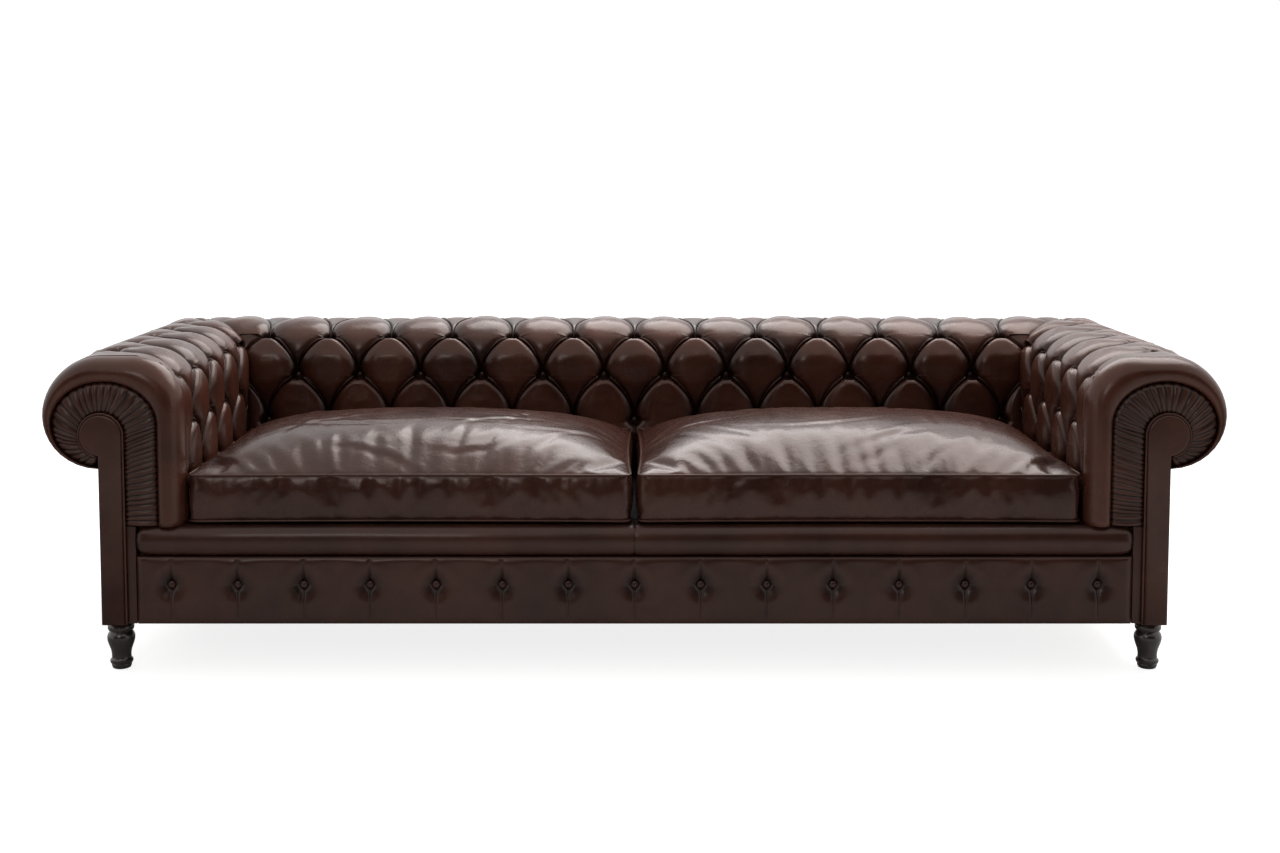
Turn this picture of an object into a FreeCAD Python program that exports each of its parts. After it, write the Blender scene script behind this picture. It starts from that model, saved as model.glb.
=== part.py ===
import FreeCAD, Part
import math
import os

# Chesterfield sofa with tufted arms and back, pleated arm facings and two loose seat cushions.
# Millimetres. The origin is on the floor under the middle, the front faces -Y and +Z is up.
# Left and right are as seen from the front, so left is -X.
#
# The arms and the back share one section. It is drawn in (w, z): w is how far a point lies
# outside the inner face of the arm or back, and z is its height.

# Overall sizes
SEAT_WIDTH = 2000.0          # between the inner faces of the arms
SEAT_DEPTH = 668.0           # front plane to the inner face of the back
WALL = 186.0                 # inner face to outside panel, of arm and back
ROLL_R = 126.0               # radius of the outer roll
TOP_Z = 718.0                # crest of the arms and back
SHOULDER_R = 112.0           # radius of the inner shoulder
FOOT_HEIGHT = 113.0
SEAT_Z = 333.0               # top of the front edge roll and of the deck
CLEAR = 0.3                  # between a soft piece and its neighbour

# Padding
PAD = 62.0                   # thickness of the arm and back pads
FRONT_DROP = 8.0             # how much lower the arm is at its front
DROP_LENGTH = 260.0          # over which it rises to full height
PIT = 30.0                   # depth of a button pit below the crest
CREASE = 13.0                # depth of a pleat half way between two buttons
ARM_PITCH = 145.0
ARM_FIRST = 153.0            # front plane to the first button of the top and inner rows
ARM_LOW_ROWS = (100.0, 222.0, 343.0)         # button rows, along the section from the seat
ARM_TOP_ROW = 0.5            # from the start of the outer roll to the top row
BACK_PITCH = 160.0
BACK_LOW_ROWS = (127.0, 246.0, 364.0)
BACK_TOP_ROW = 64.0
STEPS = 4                    # stations to a pitch, an even number, so that every button has one
SEAT_FADE = 60.0             # over which the tufting starts above the seat
ROLL_FADE = 40.0             # over which it ends under the roll
SEAM_FADE = 25.0             # reach of the crease along a mitred seam

# Frame timber
RAIL_T = 28.0
BLOCK_H = 45.0
FORMER_T = 22.0
FORMER_SHARES = (0.255, 0.551, 0.847)        # of the way from the scroll board to the back
BACK_FORMERS = 5
BACK_FORMER_END = 160.0      # inner face of an arm to the last former of the back
NOTCH = 50.0                 # half length of a notch's cutter, longer than a former is thick
BOARD_T = 24.0               # front scroll board
BOARD_SET = 26.0             # front plane to the front of the scroll board
PANEL_T = 3.7                # outside panels
PANEL_LAP = 3.0              # lower edge of the roll's filling to the top of the panels
RAIL_TOP = 262.0             # side rails, and 2 mm more at the front and back rails
STRAP_T = 2.0
STRAP_W = 60.0
STRAP_BEFORE = 55.0          # first former to the strap in front of it
STRAP_AFTER = 90.0           # last former to the strap behind it
STRAP_SHARE = 0.14           # of half the seat's width, between the straps from front to back
STRAP_IN_FRONT = 4.0         # front of the front rail to the end of a strap
STRAP_IN_BACK = 2.0          # back of the back rail to the end of a strap
STRETCHER_SHARE = 0.37       # of half the seat's width, from the middle to a stretcher
STRETCHER_LOW = 150.0
STRETCHER_HIGH = 250.0
RAIL_END = 70.0              # end of a side rail to the front of the scroll board
RAIL_REAR = 74.0             # end of a side rail to the outside of the back
REAR_RAIL_SET = 18.0         # back rail to the outside of the back
BLOCK_REAR_SET = 4.0
BLOCK_LONG = 70.0
POST_SET = 6.0               # posts and top rails to the outside of arm and back
RAIL_IN = 113.0              # w of the inner side of the side rails
TOP_RAIL_W = 60.0
TOP_RAIL_H = 22.0
TACK_RAIL_T = 22.0
TACK_RAIL_Z = 340.0
TACK_RAIL_H = 40.0

# Arm facing
RING_W = 171.0               # centre and half sizes of the oval fan
RING_DOWN = 156.0            # below the crest
RING_A = 116.5
RING_B = 94.0
RING_END = -80.0             # degrees, where the fan stops under the roll
COLLAR_DEEP = 50.0           # length of the plain collar along the arm
HEAD_W = 177.0               # round head of the post
HEAD_DOWN = 181.0
HEAD_R = 46.0
FAN_PLEATS = 25
BAND_PLEATS = 18
PLEAT = 4.0                  # how far a pleat stands up
FACING_T = 13.0              # thickness of the pleated facing between its pleats

# Front
LIP_LOW = 266.0
PANEL_OVER = 105.0           # how far the front panel and the edge roll reach under the arms
FRONT_PITCH = 147.0
FRONT_LAST = 60.0            # least distance from the last button to the panel's end
FRONT_BUTTON_Z = 201.0
FRONT_PIT = 11.0
PANEL_SET = 5.0              # front plane to the front panel
FRONT_CREASE = 4.0
PANEL_EDGE = 20.0            # width of the rounded edge of the front panel
PANEL_ROUND = 9.0            # how far that edge falls back
PANEL_DEEPEST = 18.0
LIP_DEEP = 82.0
LIP_ENDS = ((0, 0.70), (7, 0.88), (20, 0.97), (45, 1.0))    # from its end: share of full size
LIP_SEAM = 0.955             # share of its size at the seam in its middle

# Cushions
CUSHION_GAP = 5.0            # between the two cushions, and 1 mm to the arms
CUSHION_FRONT = 22.0         # front plane to the cushion's front
CUSHION_SEAM_LOW = 341.0
CUSHION_SEAM_HIGH = 444.0
CUSHION_CROWN = 523.0
BORDER_OUT = 3.0             # how far the border swells out between its seams
BORDER_ROUND = 22.0          # height over which it does
DRAWN_IN = 8.0               # how far a side pulls in half way between its corners
CROWN_LEVELS = (             # share of the half depth in from the seam, share of the rise
    (0.071, 0.25), (0.21, 0.54), (0.42, 0.81), (0.67, 0.96),
)
CROWN_TOP = 0.89             # share of the half depth where the flat top starts
CROWN_CORNER = 0.75          # corner radius there, as a share of what is left of the half depth
PIPING_R = 2.5
SEAM_CORNER = 18.0           # corner radius of a cushion at its seams

# Small parts
BUTTON_R = 9.0
BUTTON_H = 8.0
SHANK_R = 2.5
PIT_SLOPE = 0.85             # steepest side of a pit, which a button must clear
FRONT_PIT_SLOPE = 0.5
BUTTON_ROOM = 60.0           # least distance from a button to a mitred seam
FOOT_IN = 158.0              # w of the foot's centre
FOOT_BACK = 60.0             # front plane to the front feet
FOOT_REAR = 36.0             # outside of the back to the rear feet
BOLT_R = 4.0
BOLT_IN_FOOT = 40.0
BOLT_ROOM = 0.1              # between a bolt and its hole
COVER_T = 1.5                # dust cover
COVER_SET = 8.0              # inner side of the side rails to the cover's edge
COVER_FRONT = 35.0
COVER_BACK = 25.0

# Worked out from the sizes above
V = FreeCAD.Vector
HALF = SEAT_WIDTH / 2
DEPTH = SEAT_DEPTH + WALL + ROLL_R
FRONT = -DEPTH / 2
BACK_IN = FRONT + SEAT_DEPTH
BASE_Z = SEAT_Z + 2 * CLEAR
DECK_UNDER = LIP_LOW + CLEAR
PANEL_HALF = HALF + PANEL_OVER
FRONT_BUTTONS = 2 * int((PANEL_HALF - FRONT_LAST) / FRONT_PITCH) + 1
RING_Z = TOP_Z - RING_DOWN
HEAD_Z = TOP_Z - HEAD_DOWN
ROLL_Z = TOP_Z - ROLL_R
SHOULDER_Z = TOP_Z - SHOULDER_R
RISE = SHOULDER_Z - BASE_Z
ARC_IN = SHOULDER_R * math.pi / 2
FLAT = WALL - SHOULDER_R
ARC_OUT = ROLL_R * math.pi
ROLL_START = RISE + ARC_IN + FLAT
SECTION = ROLL_START + ARC_OUT
ARM_ROWS = ARM_LOW_ROWS + (ROLL_START + ARM_TOP_ROW,)
BACK_ROWS = BACK_LOW_ROWS + (ROLL_START + BACK_TOP_ROW,)
BOARD_Y = FRONT + BOARD_SET
PAD_Y = FRONT + COLLAR_DEEP + CLEAR
END_RAIL_TOP = RAIL_TOP + STRAP_T
BLOCK_Z = FOOT_HEIGHT + BLOCK_H
PANEL_W = WALL - CLEAR
POST_IN = HEAD_W - HEAD_R
TOP_RAIL_Z = TOP_Z - PAD - CLEAR - TOP_RAIL_H


def save(name, *solids):
    """Write one node, of one solid or of a group of like ones."""
    shape = solids[0] if len(solids) == 1 else Part.makeCompound(list(solids))
    shape.exportStep("parts/" + name + ".step")
    volume = sum(s.Volume for s in solids) / 1000
    print(f"{name}: {len(solids)} solid(s), {volume:.0f} cm3, valid {shape.isValid()}")


def box(x0, x1, y0, y1, z0, z1):
    low = V(min(x0, x1), min(y0, y1), z0)
    return Part.makeBox(abs(x1 - x0), abs(y1 - y0), z1 - z0, low)


def flat_face(points):
    return Part.Face(Part.makePolygon(list(points) + [points[0]]))


def solid_of(faces):
    """A closed solid of faces that share their edges."""
    shell = Part.Shell(faces)
    if not shell.isClosed():
        raise ValueError("the faces leave an opening")
    solid = Part.Solid(shell)
    if solid.Volume < 0:
        solid.reverse()
    return solid


def patch(grid):
    """Triangles over a grid of points, cut along the shorter diagonal of each cell."""
    faces = []
    for row, after in zip(grid, grid[1:]):
        for i in range(len(row) - 1):
            a, b, c, d = row[i], row[i + 1], after[i + 1], after[i]
            if (a - c).Length < (b - d).Length:
                faces += [flat_face((a, b, c)), flat_face((a, c, d))]
            else:
                faces += [flat_face((a, b, d)), flat_face((b, c, d))]
    return faces


def skin(rings, closed=False):
    """A solid through rings of points, each ring flat and with as many points as the next."""
    grid = [list(ring) + [ring[0]] for ring in rings]
    if closed:
        return solid_of(patch(grid + [grid[0]]))
    return solid_of(patch(grid) + [flat_face(rings[0]), flat_face(rings[-1])])


def mirrored(shape):
    """The right-hand twin of a left-hand piece."""
    return shape.mirror(V(0, 0, 0), V(1, 0, 0))


def save_pair(name, left):
    save("left_" + name, left)
    save("right_" + name, mirrored(left))


def arm_point(w, y, z):
    """A point of the left arm."""
    return V(-HALF - w, y, z)


def back_point(w, x, z):
    """A point of the back."""
    return V(x, BACK_IN + w, z)


# The section of arm and back

def crest(s):
    """The point (w, z) that lies s along the section from the seat, and its outward normal."""
    if s < RISE:
        return (0.0, BASE_Z + s), (-1.0, 0.0)
    s -= RISE
    if s < ARC_IN:
        turn = s / SHOULDER_R
        out = (-math.cos(turn), math.sin(turn))
        return (SHOULDER_R + SHOULDER_R * out[0], SHOULDER_Z + SHOULDER_R * out[1]), out
    s -= ARC_IN
    if s < FLAT:
        return (SHOULDER_R + s, TOP_Z), (0.0, 1.0)
    turn = min((s - FLAT) / ROLL_R, math.pi)
    out = (math.sin(turn), math.cos(turn))
    return (WALL + ROLL_R * out[0], ROLL_Z + ROLL_R * out[1]), out


def lowered(z, drop):
    """A height on an arm that is lower by drop at its crest and by nothing at the seat."""
    return z - drop * (z - BASE_Z) / (TOP_Z - BASE_Z)


def row_number(s, rows):
    """Rows as whole numbers, and in between by their distance."""
    for i in range(len(rows) - 1):
        if s <= rows[i + 1] or i == len(rows) - 2:
            return i + (s - rows[i]) / (rows[i + 1] - rows[i])


def smooth(t):
    t = min(max(t, 0.0), 1.0)
    return t * t * (3 - 2 * t)


def tuft_depth(column, s, rows):
    """How far the leather lies below the crest, column pitches along and s up the section."""
    last = len(rows) - 1
    row = row_number(s, rows)
    row_in = min(max(row, 0.0), last)
    a = column + row_in / 2
    b = column - row_in / 2
    pillow = abs(math.sin(math.pi * a) * math.sin(math.pi * b)) ** 0.45
    nearest = max(0.0, 1 - 2.6 * math.hypot(a - round(a), b - round(b)))
    depth = CREASE * (1 - pillow) + (PIT - CREASE) * nearest
    # Past the first and the last row the pleats run straight to the edge and grow shallow.
    beyond = max(row - last, -row, 0.0) * 120
    return depth * math.exp(-beyond / 170)


def section_fade(s):
    """1 on most of the section, and 0 at its two ends, where the leather is fixed."""
    return smooth(s / SEAT_FADE) * smooth((SECTION - s) / ROLL_FADE)


def section_steps(rows):
    """Places along the section: four between two rows, so that each row is met."""
    steps = [0.0, rows[0] * 0.4, rows[0] * 0.75]
    for low, high in zip(rows, rows[1:]):
        steps += [low + (high - low) * i / 4 for i in range(4)]
    rest = SECTION - rows[-1]
    return steps + [rows[-1] + rest * i / 7 for i in range(8)]


def inner_line(more=0.0):
    """The hollow of a pad: a line round the formers, from the seat to the roll's underside."""
    deep = PAD + more
    line = [(deep, BASE_Z), (deep, SHOULDER_Z)]
    half = math.radians(15)
    r = (SHOULDER_R - deep) / math.cos(half)
    for i in range(3):
        turn = half * (1 + 2 * i)
        line.append((SHOULDER_R - r * math.cos(turn), SHOULDER_Z + r * math.sin(turn)))
    line += [(SHOULDER_R, TOP_Z - deep), (WALL, TOP_Z - deep)]
    r = (ROLL_R - deep) / math.cos(half)
    for i in range(6):
        turn = half * (1 + 2 * i)
        line.append((WALL + r * math.sin(turn), ROLL_Z + r * math.cos(turn)))
    return line + [(WALL, ROLL_Z - ROLL_R + deep)]


def pad(place, stations, start, end, column, rows, drop, seams):
    """A tufted pad. start and end give its length coordinate at a w, seams its mitred ends."""
    steps = section_steps(rows)
    grid = []
    for where in stations:
        line = []
        for s in steps:
            (w, z), out = crest(s)
            along = where(w)
            seam = min(abs(edge(w) - along) for edge in seams)
            depth = max(tuft_depth(column(along), s, rows), CREASE * math.exp(-seam / SEAM_FADE))
            depth *= section_fade(s)
            w -= depth * out[0]
            z = lowered(z - depth * out[1], drop(along))
            line.append(place(w, where(w), z))
        grid.append(line)
    hollow = inner_line()
    first = [place(w, start(w), z) for w, z in hollow]
    final = [place(w, end(w), z) for w, z in hollow]
    faces = patch(grid)
    for i in range(len(hollow) - 1):
        faces.append(flat_face((first[i], final[i], final[i + 1], first[i + 1])))
    faces.append(flat_face([line[0] for line in grid] + [final[0], first[0]]))
    faces.append(flat_face([line[-1] for line in grid] + [final[-1], first[-1]]))
    faces.append(flat_face(grid[0] + first[::-1]))
    faces.append(flat_face(grid[-1] + final[::-1]))
    return solid_of(faces)


def flat_start(w):
    """Where the arm pad starts, behind the collar."""
    return PAD_Y


def arm_mitre(w):
    return BACK_IN + w - CLEAR


def arm_column(y):
    return (y - FRONT - ARM_FIRST) / ARM_PITCH + 0.5


def arm_drop(y):
    return FRONT_DROP * (1 - smooth((y - FRONT) / DROP_LENGTH))


def fan(last, end, button, rows):
    """Stations from the last straight one to the mitre, one of them through the top row's button."""
    w = crest(rows[-1])[0][0]
    f = min((button - last) / (end(w) - last), 0.85)
    shares = (f / 2, f, f + (1 - f) / 3, f + (1 - f) * 2 / 3, 1.0)
    return [lambda w, share=share: last + (end(w) - last) * share for share in shares]


def arm_stations():
    """Even stations up to the inner corner, and then fanned out to the mitre."""
    step = ARM_PITCH / STEPS
    first = FRONT + ARM_FIRST
    begin = first - step * int((first - PAD_Y - 6) / step)
    count = int((BACK_IN - 12 - begin) / step) + 1
    places = [PAD_Y] + [begin + step * i for i in range(count)]
    stations = [lambda w, y=y: y for y in places]
    top_button = first + ARM_PITCH * math.ceil((places[-1] + 30 - first) / ARM_PITCH)
    return stations + fan(places[-1], arm_mitre, top_button, ARM_ROWS)


def arm_pad():
    return pad(arm_point, arm_stations(), flat_start, arm_mitre, arm_column, ARM_ROWS, arm_drop,
               (arm_mitre,))


def back_start(w):
    return -HALF - w + CLEAR


def back_end(w):
    return HALF + w - CLEAR


def back_stations():
    """Even stations between the inner corners, and fanned out to the mitre at both ends."""
    step = BACK_PITCH / STEPS
    count = int((HALF - 12) / step)
    edge = step * count
    top_button = BACK_PITCH * (math.ceil((edge + 30) / BACK_PITCH - 0.5) + 0.5)
    right = fan(edge, back_end, top_button, BACK_ROWS)
    left = [lambda w, right=station: -right(w) for station in reversed(right)]
    return left + [lambda w, i=i: step * i for i in range(-count, count + 1)] + right


def back_pad():
    def column(x):
        return x / BACK_PITCH

    def drop(x):
        return 0.0

    return pad(back_point, back_stations(), back_start, back_end, column, BACK_ROWS, drop,
               (back_start, back_end))


# Buttons

def button(base, out):
    """A covered button, six-sided, that widens from its shank, pointing along out."""
    out = V(out)
    out.normalize()
    side = out.cross(V(0, 0, 1)) if abs(out.z) < 0.9 else out.cross(V(0, 1, 0))
    side.normalize()
    other = out.cross(side)
    rings = []
    for height, radius in ((0, SHANK_R), (BUTTON_H, BUTTON_R)):
        ring = []
        for i in range(6):
            turn = math.radians(60 * i)
            spoke = side * math.cos(turn) + other * math.sin(turn)
            ring.append(base + out * height + spoke * radius)
        rings.append(ring)
    return skin(rings)


def pad_button(place, along, s, drop):
    """The button of a pit at this place on the section."""
    (w, z), out = crest(s)
    seat = PIT - PIT_SLOPE * SHANK_R - CLEAR
    w_base = w - seat * out[0]
    base = place(w_base, along, lowered(z - seat * out[1], drop))
    tip = place(w_base + out[0], along, lowered(z - seat * out[1], drop) + out[1])
    return button(base, tip - base)


def arm_buttons():
    buttons = []
    for row, s in enumerate(ARM_ROWS):
        w = crest(s)[0][0]
        for i in range(-1, int(DEPTH / ARM_PITCH)):
            y = FRONT + ARM_FIRST + (i + (row % 2 == 0) / 2) * ARM_PITCH
            if PAD_Y + BUTTON_ROOM / 2 < y < arm_mitre(w) - BUTTON_ROOM:
                buttons.append(pad_button(arm_point, y, s, arm_drop(y)))
    return buttons


def back_buttons():
    buttons = []
    for row, s in enumerate(BACK_ROWS):
        w = crest(s)[0][0]
        most = int(back_end(w) / BACK_PITCH) + 1
        for i in range(-most, most + 1):
            x = (i + (row % 2) / 2) * BACK_PITCH
            if abs(x) < back_end(w) - BUTTON_ROOM:
                buttons.append(pad_button(back_point, x, s, 0.0))
    return buttons


# Arm front

def ring_point(degrees, less=0.0):
    """A point (w, z) of the fan's oval, or of one that is smaller by less."""
    turn = math.radians(degrees)
    return RING_W + (RING_A - less) * math.cos(turn), RING_Z + (RING_B - less) * math.sin(turn)


def turn_round(w, z):
    """The angle of (w, z) round the fan's centre, from the inner side over the top."""
    return (math.atan2(z - RING_Z, RING_W - w) + 0.3) % (2 * math.pi)


def crest_towards(w, z):
    """The crest's point that lies beyond (w, z), seen from the centre of the fan."""
    aim = turn_round(w, z)
    low = RING_Z - BASE_Z
    high = SECTION
    for _ in range(40):
        s = (low + high) / 2
        cw, cz = crest(s)[0]
        if turn_round(cw, lowered(cz, FRONT_DROP)) < aim:
            low = s
        else:
            high = s
    return cw, lowered(cz, FRONT_DROP)


def collar():
    """The plain leather edge round the fan, with a rounded front."""
    inner_w = RING_W - RING_A
    pairs = []
    for i in range(6):
        z = BASE_Z + (RING_Z - BASE_Z) * i / 6
        pairs.append(((inner_w, z), (0.0, z)))
    count = 24
    for i in range(count + 1):
        at = ring_point(180 - (180 - RING_END) * i / count)
        pairs.append((at, crest_towards(*at)))
    shape = ((0, 0.32), (0.14, 0.1), (0.45, 0), (0.8, 0.1), (1, 0.36), (1, 1), (0, 1))
    rings = []
    for (w0, z0), (w1, z1) in pairs:
        rings.append([
            arm_point(w0 + (w1 - w0) * e, FRONT + COLLAR_DEEP * f, z0 + (z1 - z0) * e)
            for e, f in shape
        ])
    return skin(rings)


def head_point(degrees, more):
    turn = math.radians(degrees)
    return HEAD_W + (HEAD_R + more) * math.cos(turn), HEAD_Z + (HEAD_R + more) * math.sin(turn)


def head_end():
    """The angle at which the head of the post meets the post's outer side."""
    return -math.degrees(math.acos((WALL - HEAD_W) / HEAD_R))


def facing_lines():
    """Pairs of points across the pleated facing, post side first, a ridge and a valley to a pleat."""
    pairs = []
    steps = 2 * FAN_PLEATS
    for i in range(steps + 1):
        ring = RING_END + 3 + (180 - RING_END - 3) * i / steps
        head = head_end() + 2 + (180 - head_end() - 2) * i / steps
        pairs.append((head_point(head, CLEAR), ring_point(ring, 3 * CLEAR)))
    steps = 2 * BAND_PLEATS
    side = RING_W - RING_A + CLEAR
    for i in range(1, steps + 1):
        t = i / steps
        pairs.append((
            (POST_IN - CLEAR, HEAD_Z + (BASE_Z - HEAD_Z) * t),
            (side, RING_Z + (BASE_Z - RING_Z) * t),
        ))
    return pairs


def pleated_facing():
    rings = []
    for i, ((w0, z0), (w1, z1)) in enumerate(facing_lines()):
        up = PLEAT if i % 2 else 0.0
        front = BOARD_Y - FACING_T
        line = []
        for e, y in ((0, BOARD_Y), (0, front - up), (1, front - up / 2), (1, BOARD_Y)):
            line.append(arm_point(w0 + (w1 - w0) * e, y, z0 + (z1 - z0) * e))
        rings.append(line)
    return skin(rings)


def xz_face(edges, y):
    """A flat face of edges drawn in (w, z) on the left arm, at this y."""
    made = []
    for points in edges:
        ends = [arm_point(w, y, z) for w, z in points]
        if len(ends) == 2:
            made.append(Part.makeLine(*ends))
        else:
            made.append(Part.Arc(*ends).toShape())
    return Part.Face(Part.Wire(made))


def post_facing():
    """The leather-covered strip up the front of the arm, with its round head."""
    top = (HEAD_W, HEAD_Z + HEAD_R)
    side = (HEAD_W + HEAD_R, HEAD_Z)
    meet = head_point(head_end(), 0.0)
    middle = head_point(head_end() / 2, 0.0)
    left = (POST_IN, HEAD_Z)
    corner = head_point(135, 0.0)
    other = head_point(45, 0.0)
    face = xz_face((
        ((POST_IN, FOOT_HEIGHT), left),
        (left, corner, top),
        (top, other, side),
        (side, middle, meet),
        (meet, (WALL, FOOT_HEIGHT)),
        ((WALL, FOOT_HEIGHT), (POST_IN, FOOT_HEIGHT)),
    ), FRONT)
    solid = face.extrude(V(0, BOARD_SET, 0))
    rounded = [
        e for e in solid.Edges
        if e.BoundBox.YMax < FRONT + 0.01 and e.BoundBox.ZMax > FOOT_HEIGHT + 1
    ]
    return solid.makeChamfer(4.0, rounded)


def tube(points, radius, closed=False):
    """A six-sided cord cover along points. The path lies in one plane, square to +Y or +Z."""
    rings = []
    last = len(points) - 1
    flat = max(p.z for p in points) - min(p.z for p in points) < 1e-6
    up = V(0, 0, 1) if flat else V(0, 1, 0)
    for i, p in enumerate(points):
        before = points[i - 1] if i or closed else p
        after = points[(i + 1) % (last + 1)] if i < last or closed else p
        ahead = after - before
        ahead.normalize()
        side = ahead.cross(up)
        ring = []
        for k in range(6):
            turn = math.radians(60 * k)
            ring.append(p + side * (radius * math.cos(turn)) + up * (radius * math.sin(turn)))
        rings.append(ring)
    return skin(rings, closed)


def post_piping():
    """The piped edge up the inner side of the post and round its head."""
    off = PIPING_R + CLEAR
    points = [(POST_IN - off, FOOT_HEIGHT + 1), (POST_IN - off, HEAD_Z * 0.6 + FOOT_HEIGHT * 0.4)]
    end = head_end() + 12
    for i in range(17):
        points.append(head_point(180 - (180 - end) * i / 16, off))
    y = BOARD_Y - FACING_T - PLEAT - PIPING_R - CLEAR
    return tube([arm_point(w, y, z) for w, z in points], PIPING_R)


def rail_end_strip():
    y0 = BOARD_Y - FACING_T
    x0 = -PANEL_HALF - 1
    return box(x0, -HALF - POST_IN + CLEAR, y0, BOARD_Y, FOOT_HEIGHT, SEAT_Z)


# Timber frame

def scroll_board():
    """The front board of an arm, which the facing is fixed to."""
    less = 3 * CLEAR
    turn = (180 - RING_END) / 12
    points = [ring_point(180 - turn * i, less) for i in range(13)]
    low = BASE_Z - CLEAR
    edges = [points[i:i + 3] for i in range(0, 12, 2)]
    corners = (
        points[-1], (PANEL_W, points[-1][1]), (PANEL_W, BLOCK_Z), (RAIL_IN, BLOCK_Z),
        (RAIL_IN, low), (points[0][0], low), points[0],
    )
    edges += zip(corners, corners[1:])
    return xz_face(edges, BOARD_Y).extrude(V(0, BOARD_T, 0))


def former_face(foot_z):
    """The outline of a scroll former in (w, z), drawn on the left arm at y = 0."""
    outer = PANEL_W - PANEL_T
    line = inner_line(CLEAR)
    low = ROLL_Z - ROLL_R + PAD + CLEAR
    corners = [(line[0][0], foot_z)] + line[1:-1] + [(WALL, low), (outer, low), (outer, foot_z)]
    return flat_face([arm_point(w, 0.0, z) for w, z in corners])


def former(foot_z, y):
    """A scroll former of the left arm, notched for the top rail and the tack rail."""
    solid = former_face(foot_z).extrude(V(0, FORMER_T, 0))
    solid.translate(V(0, y - FORMER_T / 2, 0))
    side = -HALF - WALL + POST_SET
    top_notch = box(side, side + TOP_RAIL_W, y - NOTCH, y + NOTCH, TOP_RAIL_Z, TOP_Z)
    tack_in = -HALF - PAD - CLEAR
    tack_notch = box(
        tack_in - TACK_RAIL_T, tack_in + NOTCH, y - NOTCH, y + NOTCH, TACK_RAIL_Z,
        TACK_RAIL_Z + TACK_RAIL_H,
    )
    return solid.cut(top_notch).cut(tack_notch)


def to_back(solid, x):
    """Turn a piece of the left arm, made at y = 0, to stand in the back at x."""
    solid = solid.copy()
    solid.rotate(V(-HALF, 0, 0), V(0, 0, 1), -90)
    solid.translate(V(x + HALF, BACK_IN, 0))
    return solid


def side_rails_frame():
    """Rails of the left side, with the arm's own rails above."""
    front = BOARD_Y + RAIL_END
    back = BACK_IN + WALL - RAIL_REAR
    side_rail = box(-HALF - RAIL_IN - RAIL_T, -HALF - RAIL_IN, front, back, FOOT_HEIGHT, RAIL_TOP)
    save_pair("side_rail", side_rail)
    out = -HALF - WALL + POST_SET
    y0 = BOARD_Y + BOARD_T
    top_rail = box(
        out, out + TOP_RAIL_W, y0, BACK_IN + WALL - POST_SET - TOP_RAIL_W, TOP_RAIL_Z,
        TOP_RAIL_Z + TOP_RAIL_H,
    )
    save_pair("arm_top_rail", top_rail)
    tack_in = PAD + CLEAR
    tack_rail = box(
        -HALF - tack_in - TACK_RAIL_T, -HALF - tack_in, y0, BACK_IN + tack_in, TACK_RAIL_Z,
        TACK_RAIL_Z + TACK_RAIL_H,
    )
    save_pair("arm_tack_rail", tack_rail)


def foot_places():
    """Centres of the four feet: front left, front right, rear left, rear right."""
    x = HALF + FOOT_IN
    front = FRONT + FOOT_BACK
    rear = BACK_IN + WALL - FOOT_REAR
    return (-x, front), (x, front), (-x, rear), (x, rear)


def former_places():
    """Where the formers of an arm stand, from the front."""
    return [BOARD_Y + (BACK_IN - BOARD_Y) * share for share in FORMER_SHARES]


def seat_frame():
    """The rails round the seat, with two stretchers between front and back."""
    end = HALF + RAIL_IN
    front = BOARD_Y
    back = BACK_IN + WALL - REAR_RAIL_SET
    save("front_rail", box(-end, end, front, front + RAIL_T, FOOT_HEIGHT, END_RAIL_TOP))
    save("back_rail", box(-end, end, back - RAIL_T, back, FOOT_HEIGHT, END_RAIL_TOP))
    stretchers = [
        box(x - RAIL_T / 2, x + RAIL_T / 2, front + RAIL_T, back - RAIL_T, STRETCHER_LOW,
            STRETCHER_HIGH)
        for x in (-HALF * STRETCHER_SHARE, HALF * STRETCHER_SHARE)
    ]
    save("seat_stretchers", *stretchers)
    blocks = []
    wide = WALL - CLEAR - PANEL_T
    for x, y in foot_places():
        low = BOARD_Y if y < 0 else BACK_IN + WALL - BLOCK_REAR_SET - BLOCK_LONG
        side = math.copysign(1, x)
        block = box(
            side * end, side * (HALF + wide), low, low + BLOCK_LONG, FOOT_HEIGHT, BLOCK_Z
        )
        hole = Part.makeCylinder(BOLT_R + BOLT_ROOM, BLOCK_H, V(x, y, FOOT_HEIGHT))
        blocks.append(block.cut(hole))
    save("foot_blocks", *blocks)


def upper_frame():
    """Posts, rails and formers that carry the arms and the back."""
    posts = []
    rear = BACK_IN + WALL - POST_SET
    reach = HALF + WALL - POST_SET
    for side in (-1, 1):
        posts.append(box(
            side * reach, side * (reach - TOP_RAIL_W), rear - TOP_RAIL_W, rear, BLOCK_Z, TOP_RAIL_Z
        ))
    save("rear_corner_posts", *posts)
    save("back_top_rail", box(
        -reach, reach, rear - TOP_RAIL_W, rear, TOP_RAIL_Z, TOP_RAIL_Z + TOP_RAIL_H
    ))
    tack = BACK_IN + PAD + CLEAR
    half = HALF + PAD + CLEAR + TACK_RAIL_T
    save("back_tack_rail", box(
        -half, half, tack, tack + TACK_RAIL_T, TACK_RAIL_Z, TACK_RAIL_Z + TACK_RAIL_H
    ))
    save("left_scroll_board", scroll_board())
    save("right_scroll_board", mirrored(scroll_board()))
    formers = [former(RAIL_TOP, y) for y in former_places()]
    save("left_arm_formers", *formers)
    save("right_arm_formers", *[mirrored(f) for f in formers])
    gap = 2 * (HALF - BACK_FORMER_END) / (BACK_FORMERS - 1)
    places = [gap * (i - (BACK_FORMERS - 1) / 2) for i in range(BACK_FORMERS)]
    save("back_formers", *[to_back(former(END_RAIL_TOP, 0), x) for x in places])


# Seat

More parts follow.
